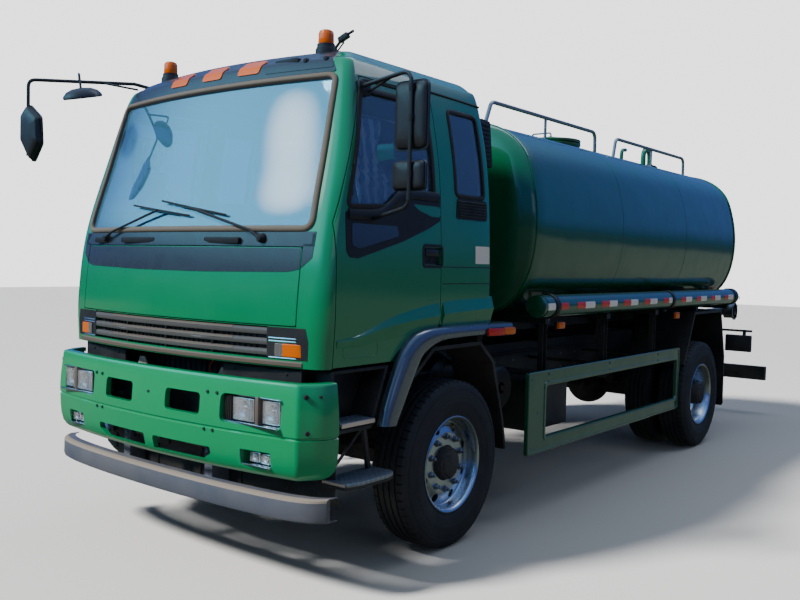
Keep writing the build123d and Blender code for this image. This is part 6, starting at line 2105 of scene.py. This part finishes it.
def moved_in(outline, shrink, x):
    """Ring of an outline of (station, z) at a place along X, moved towards its middle by shrink."""
    middle_f, middle_z = [(a + b) / 2 for a, b in zip(outline[0], outline[len(outline) // 2])]
    return [at(x, f + (shrink if f < middle_f else -shrink), z + (shrink if z < middle_z else -shrink))
            for f, z in outline]


class TANKER_OT_guards(bpy.types.Operator):
    """Shapes the side guards with their pressed lips, hangers and bolts"""

    bl_idname = "tanker.guards"
    bl_label = "Side guards"

    def execute(self, context):
        fold = context.scene.tanker_sizes.guard_fold
        shape, bolts = Shape(), Shape()
        for side in SIDES:
            outer = rounded(rectangle((0.875, 3.82), (0.44, 1.03)), 0.02)
            inner = rounded(rectangle((1.14, 3.75), (0.55, 0.915)), 0.03)
            back = GUARD_FACE - fold
            # The section's folds. Both outlines have as many points, so the rings join one to one
            section = (
                (outer, 0.0, back), (outer, 0.0, 1.176), (outer, 0.005, GUARD_FACE),
                (outer, 0.018, GUARD_FACE),
                (outer, 0.022, GUARD_RECESS), (inner, -0.03, GUARD_RECESS), (inner, -0.026, GUARD_FACE),
                (inner, -0.008, GUARD_FACE), (inner, -0.003, 1.1795), (inner, 0.0, 1.172), (inner, 0.0, back),
                (inner, -0.003, back), (inner, -0.004, 1.176), (outer, 0.005, 1.177), (outer, 0.003, back),
            )
            rings = [moved_in(outline, shrink, side * x) for outline, shrink, x in section]
            shape.loft(rings, caps=False).paint("guard_green")
            for f in GUARD_HANGERS:
                web = ((f - 0.03, 0.95), (f + 0.03, 0.95), (f + 0.026, 1.39), (f - 0.026, 1.39))
                shape.prism(web, "X", (side * 1.088, side * 1.093))
                for edge in about(f, 0.028):
                    shape.box(across(side, 1.093, 1.13), about(edge, 0.002), (0.95, 1.36))
                shape.box(across(side, 1.09, 1.176), about(f, 0.028), (0.968, 0.976), 0.002)
                shape.tube(((side * 0.43, f, 0.986), (side * 1.09, f, 0.986)), 0.014, 0, 2)
            for f in (1.5, 1.93, 2.66, 3.0, 3.5):
                shape.box(across(side, 1.166, 1.174), about(f, 0.002), (0.93, 1.015), 0.001)
            shape.paint("chassis_black")
            for f in GUARD_HANGERS:
                for x, z in ((GUARD_RECESS, 0.945), (GUARD_RECESS, 1.0), (1.093, 1.2), (1.093, 1.33)):
                    bolts.bolt(at(side * x, f, z), out_to(side), 0.009, 0.008)
            for f, z in ((0.93, 0.49), (0.93, 0.98), (3.785, 0.49), (3.785, 0.98), (1.02, 0.735)):
                bolts.bolt(at(side * GUARD_RECESS, f, z), out_to(side), 0.007, 0.006)
            bolts.paint("nut_steel")
        shape.place("guard_skins", "chassis", "guard_green", ("side_guards",), 30)
        bolts.place("guard_bolts", "chassis", smooth=30)
        return {"FINISHED"}


class TANKER_OT_markers(bpy.types.Operator):
    """Adds the side markers, tail lamps, blank plate and mud flaps"""

    bl_idname = "tanker.markers"
    bl_label = "Markers"

    def execute(self, context):
        shape, flaps = Shape(), Shape()
        for side in SIDES:
            for f, z in (((1.33, 1.435), (1.315, 1.375)), ((3.72, 3.835), (1.305, 1.375))):
                shape.box(across(side, 1.12, 1.145), f, z, 0.006).paint("plastic_black")
                lens = rounded(rectangle((f[0] + 0.006, f[1] - 0.006), (z[0] + 0.006, z[1] - 0.006)), 0.012)
                shape.prism(lens, "X", (side * 1.14, side * 1.164), 0.006, 3).paint("lamp_amber")
            for i, finish in enumerate(("lamp_red", "lamp_amber", "lamp_clear")):
                x = 1.045 - 0.098 * i
                lens = ((-0.002, 0.0), (0.0, 0.02), (-0.004, 0.038), (-0.014, 0.042), (-0.016, 0.0))
                shape.lathe(lens, at(side * x, 6.5, 0.9), "Y", 28).paint(finish)
            shape.box(across(side, 0.8, 1.1), (6.43, 6.488), (0.8, 1.0), 0.012, 3)
            shape.box(across(side, 1.0, 1.03), (6.44, 6.48), (0.99, 1.04), 0.003).paint("plastic_black")
            outline = rectangle((side * 0.64, side * 1.19), (0.32, 0.86))
            flaps.prism(rounded(outline, 0.015), "Y", (5.133, 5.14), 0.001)
            flaps.box(across(side, 0.62, 1.195), (5.118, 5.136), (0.84, 0.87), 0.003)
        shape.box((-0.26, 0.26), (6.77, 6.775), (0.47, 0.58), 0.001).paint("panel_white")
        shape.place("marker_lamps", "chassis", "lamp_amber", ("chassis_lamps",), 40)
        flaps.paint("hose_rubber").place("mud_flaps", "chassis", smooth=30)
        return {"FINISHED"}


class TANKER_OT_tank_top(bpy.types.Operator):
    """Shapes the manway and its lid, the handrails and the vent pipes"""

    bl_idname = "tanker.tank_top"
    bl_label = "Tank top"

    def execute(self, context):
        middle = at(0, 3.3, 0)
        collar = Shape()
        profile = ((2.82, 0.27), (2.82, 0.28), (2.955, 0.28), (2.96, 0.288), (2.972, 0.295), (2.986, 0.295),
                   (2.9895, 0.29), (2.9895, 0.255), (2.975, 0.25), (2.82, 0.25))
        collar.lathe(profile, middle, "Z", 64, closed=True)
        for side in SIDES:
            ear = ((3.555, 2.9), (3.67, 2.9), (3.67, 3.025), (3.66, 3.035), (3.63, 3.035), (3.606, 2.98),
                   (3.575, 2.955))
            collar.prism(ear, "X", (side * 0.05, side * 0.062), 0.003)
        collar.paint("tank_green")
        pin = ((-0.07, 0.0), (-0.07, 0.013), (-0.062, 0.015), (0.062, 0.015), (0.07, 0.013), (0.07, 0.0))
        collar.lathe(pin, at(0, 3.645, 3.015), "X", 12)
        for i in range(6):
            a = 2 * pi * (i + 0.5) / 6
            arm = Vector((cos(a), sin(a), 0))
            spot = middle + arm * 0.288 + Vector((0, 0, 2.95))
            collar.rod((-0.04, 0.0), 0.012, spot, "Z", 10)
        collar.paint("steel_grey").place("manway_ring", "chassis", "tank_green", ("manway_collar",), 35)
        lid = Shape()
        profile = ((2.997, 0.0), (2.997, 0.292), (3.005, 0.295), (3.018, 0.295), (3.024, 0.29), (3.026, 0.27),
                   (3.03, 0.25), (3.034, 0.13), (3.036, 0.118), (3.05, 0.112), (3.054, 0.1), (3.055, 0.0))
        lid.lathe(profile, middle, "Z", 64)
        knuckle = ((3.45, 3.004), (3.62, 3.004), (3.645, 2.998), (3.664, 3.015), (3.645, 3.032), (3.62, 3.03),
                   (3.45, 3.03))
        lid.prism(knuckle, "X", (-0.038, 0.038), 0.004).paint("tank_green")
        lid.tube(((-0.1, 3.12, 3.03), (-0.1, 3.12, 3.075), (0.1, 3.12, 3.075), (0.1, 3.12, 3.03)), 0.008,
                 0.02, 3)
        lid.rod((3.055, 3.07), 0.02, middle, "Z", 16)
        lid.paint("steel_grey").place("manway_cover", "manway_lid", "tank_green", ("manway_lid",), 35)

        rails = Shape()
        for f0, f1, slant in ((1.15, 3.07, 0.09), (3.49, 5.38, 0.05)):
            hoop = ((f0 - 0.02, 2.79), (f0 + slant, 3.035), (f1, 3.035), (f1 + 0.01, 2.79))
            rails.tube([(0.58, f, z) for f, z in hoop], 0.016, 0.07)
            rails.tube([(0.58, (f0 + f1) / 2, z) for z in (2.79, 3.03)], 0.012, 0, 3)
            for f in (f0 - 0.02, (f0 + f1) / 2, f1 + 0.01):
                foot = ((-0.012, 0.0), (-0.012, 0.038), (0.0, 0.038), (0.004, 0.03), (0.004, 0.0))
                rails.lathe(foot, at(0.58, f, 2.832), Vector((0.28, 0, 0.96)), 20)
        rails.paint("steel_grey").place("handrail_tubes", "chassis", "steel_grey", ("handrails",), 40)
        pipes = Shape()
        pipes.tube(((0.3, 4.92, 2.8), (0.3, 4.92, 3.11), (0.3, 5.1, 3.11), (0.3, 5.1, 2.94)), 0.027, 0.085, 5)
        pipes.tube(((0.3, 4.33, 2.8), (0.3, 4.33, 3.035), (0.3, 4.43, 3.045)), 0.019, 0.06, 4)
        pipes.paint("tank_green")
        for f, r in ((4.92, 0.05), (4.33, 0.04)):
            pipes.rod((0.0, 0.014), r, at(0.3, f, 2.858), "Z", 20)
        pipes.lathe(((0.0, 0.0), (0.0, 0.032), (0.03, 0.034), (0.034, 0.0)), at(0.3, 5.1, 2.93), "Z", 20)
        pipes.paint("steel_grey").place("vent_fittings", "chassis", "steel_grey", ("vent_pipes",), 40)
        return {"FINISHED"}


class TANKER_OT_chassis_detail(bpy.types.Operator):
    """Adds rail bolts, pipes, reservoir bands, brake pots, tanks' fittings and the outlet"""

    bl_idname = "tanker.chassis_detail"
    bl_label = "Chassis detail"

    def execute(self, context):
        bolts, parts = Shape(), Shape()
        for side in SIDES:
            out = out_to(side)
            for i in range(26):
                f = -0.95 + 0.29 * i
                for z in (0.86, 0.98):
                    bolts.bolt(at(side * 0.425, f, z), out, 0.009, 0.008, washer=False)
            for f in (4.1, 4.35, 4.6):
                bolts.bolt(at(side * 0.425, f, 0.92), out, 0.014, 0.012)
            for x, heights, radius in ((0.437, (1.03, 1.03, 0.99), 0.009),
                                       (0.44, (1.05, 1.055, 1.02), 0.007)):
                parts.tube([(side * x, f, z) for f, z in zip((0.9, 2.6, 3.6), heights)], radius, 0.1, 2)
        for i in range(3):
            end = (0.5 + 0.2 * i) * 0.3 + 0.85
            parts.tube(((0.5, 0.7 + 0.05 * i, 1.15), (0.62, 0.72, 1.08 - 0.04 * i), (0.7, 0.8, end)), 0.011,
                       0.06, 3)
        # Air reservoirs' bands, domed ends and drain taps
        reservoir = at(0, 0.8, 0.915)
        for x in (0.56, 0.9):
            outline = ((x - 0.018, 0.1595), (x - 0.018, 0.1635), (x + 0.018, 0.1635), (x + 0.018, 0.1595))
            parts.lathe(outline, reservoir, "X", 40, closed=True)
        parts.paint("hose_rubber")
        dome = ((1.0, 0.0), (1.0, 0.04), (0.996, 0.1), (0.985, 0.14), (0.97, 0.157), (0.965, 0.157))
        parts.lathe(dome, reservoir, "X", 40)
        parts.lathe(((1.0, 0.0), (1.0, 0.02), (1.012, 0.018), (1.016, 0.0)), reservoir, "X", 12)
        parts.paint("chassis_black")
        bolts.paint("nut_steel").place("rail_bolts", "chassis", smooth=30)
        # Brake pots of the rear axle and the propeller shaft
        for side in SIDES:
            pot = ((-0.09, 0.0), (-0.09, 0.05), (-0.06, 0.078), (-0.004, 0.082), (0.0, 0.09), (0.008, 0.09),
                   (0.012, 0.082), (0.06, 0.078), (0.085, 0.05), (0.085, 0.0))
            parts.lathe(pot, at(side * 0.37, 4.14, 0.66), Vector((0, 1, 0.15)).normalized(), 28)
        shaft = ((1.0, 0.0), (1.0, 0.055), (1.04, 0.055), (1.06, 0.045), (3.9, 0.045), (3.92, 0.055),
                 (3.97, 0.055),
                 (3.97, 0.0))
        parts.lathe(shaft, at(0, 0, 0.66), "Y", 24)
        parts.paint("cast_iron").place("under_parts", "chassis", "cast_iron", smooth=40)

        tail = Shape()
        tail.box((-0.43, 0.43), (5.7, 6.4), (1.159, 1.164), 0.001).paint("tread_plate")
        for x in (-0.43, 0.43):
            tail.box(about(x, 0.004), (5.7, 6.4), (1.13, 1.185), 0.001)
        tail.box((-0.43, 0.43), (6.392, 6.4), (1.13, 1.185), 0.001).paint("chassis_black")
        # Coupling: flange, lugs, cap chain ring and bore
        spot = at(1.12, 5.7, 1.32)
        flange = ((-0.012, 0.04), (-0.012, 0.098), (-0.002, 0.1), (0.0, 0.094), (0.0, 0.04))
        tail.lathe(flange, spot, "X", 40, closed=True)
        for i in range(4):
            a = pi / 4 + pi / 2 * i
            head = spot + Vector((0, cos(a), sin(a))) * 0.087 - Vector((0.001, 0, 0))
            tail.bolt(head, AXES["X"], 0.008, 0.008)
        tail.paint("steel_grey")
        tail.lathe(((-0.02, 0.0), (-0.02, 0.03), (0.0, 0.038), (0.012, 0.02), (0.012, 0.0)),
                   at(1.03, 5.7, 1.425), "Z", 16)
        tail.tube(((1.03, 5.62, 1.44), (1.03, 5.7, 1.45), (1.03, 5.83, 1.44)), 0.007, 0.02, 2)
        tail.paint("marker_orange").place("tail_fittings", "chassis", "steel_grey", smooth=40)
        return {"FINISHED"}


# ---------------------------------------------------------------- add-on

# In the order in which they run
OPERATORS = (
    TANKER_OT_finishes, TANKER_OT_stage, TANKER_OT_tyres, TANKER_OT_rims, TANKER_OT_cab, TANKER_OT_doors,
    TANKER_OT_glazing, TANKER_OT_nose, TANKER_OT_roof, TANKER_OT_bumper, TANKER_OT_mirrors,
    TANKER_OT_cab_trim,
    TANKER_OT_door_trim, TANKER_OT_steps, TANKER_OT_interior, TANKER_OT_tank, TANKER_OT_tank_top,
    TANKER_OT_tubes,
    TANKER_OT_guards, TANKER_OT_markers, TANKER_OT_chassis_detail,
)


class TANKER_PT_panel(bpy.types.Panel):
    """Lists the tanker's settings and steps"""

    bl_idname = "TANKER_PT_panel"
    bl_label = "Tanker"
    bl_space_type = "VIEW_3D"
    bl_region_type = "UI"
    bl_category = "Tanker"

    def draw(self, context):
        for settings in (context.scene.tanker_paints, context.scene.tanker_sizes):
            for name in settings.__annotations__:
                self.layout.prop(settings, name)
        for operator in OPERATORS:
            self.layout.operator(operator.bl_idname)


CLASSES = (TankerPaints, TankerSizes, *OPERATORS, TANKER_PT_panel)


def register():
    for kind in CLASSES:
        bpy.utils.register_class(kind)
    bpy.types.Scene.tanker_paints = PointerProperty(type=TankerPaints)
    bpy.types.Scene.tanker_sizes = PointerProperty(type=TankerSizes)


def unregister():
    del bpy.types.Scene.tanker_sizes, bpy.types.Scene.tanker_paints
    for kind in reversed(CLASSES):
        bpy.utils.unregister_class(kind)


def main():
    register()
    for operator in OPERATORS:
        getattr(bpy.ops.tanker, operator.bl_idname.partition(".")[2])()


if __name__ == "__main__":
    main()
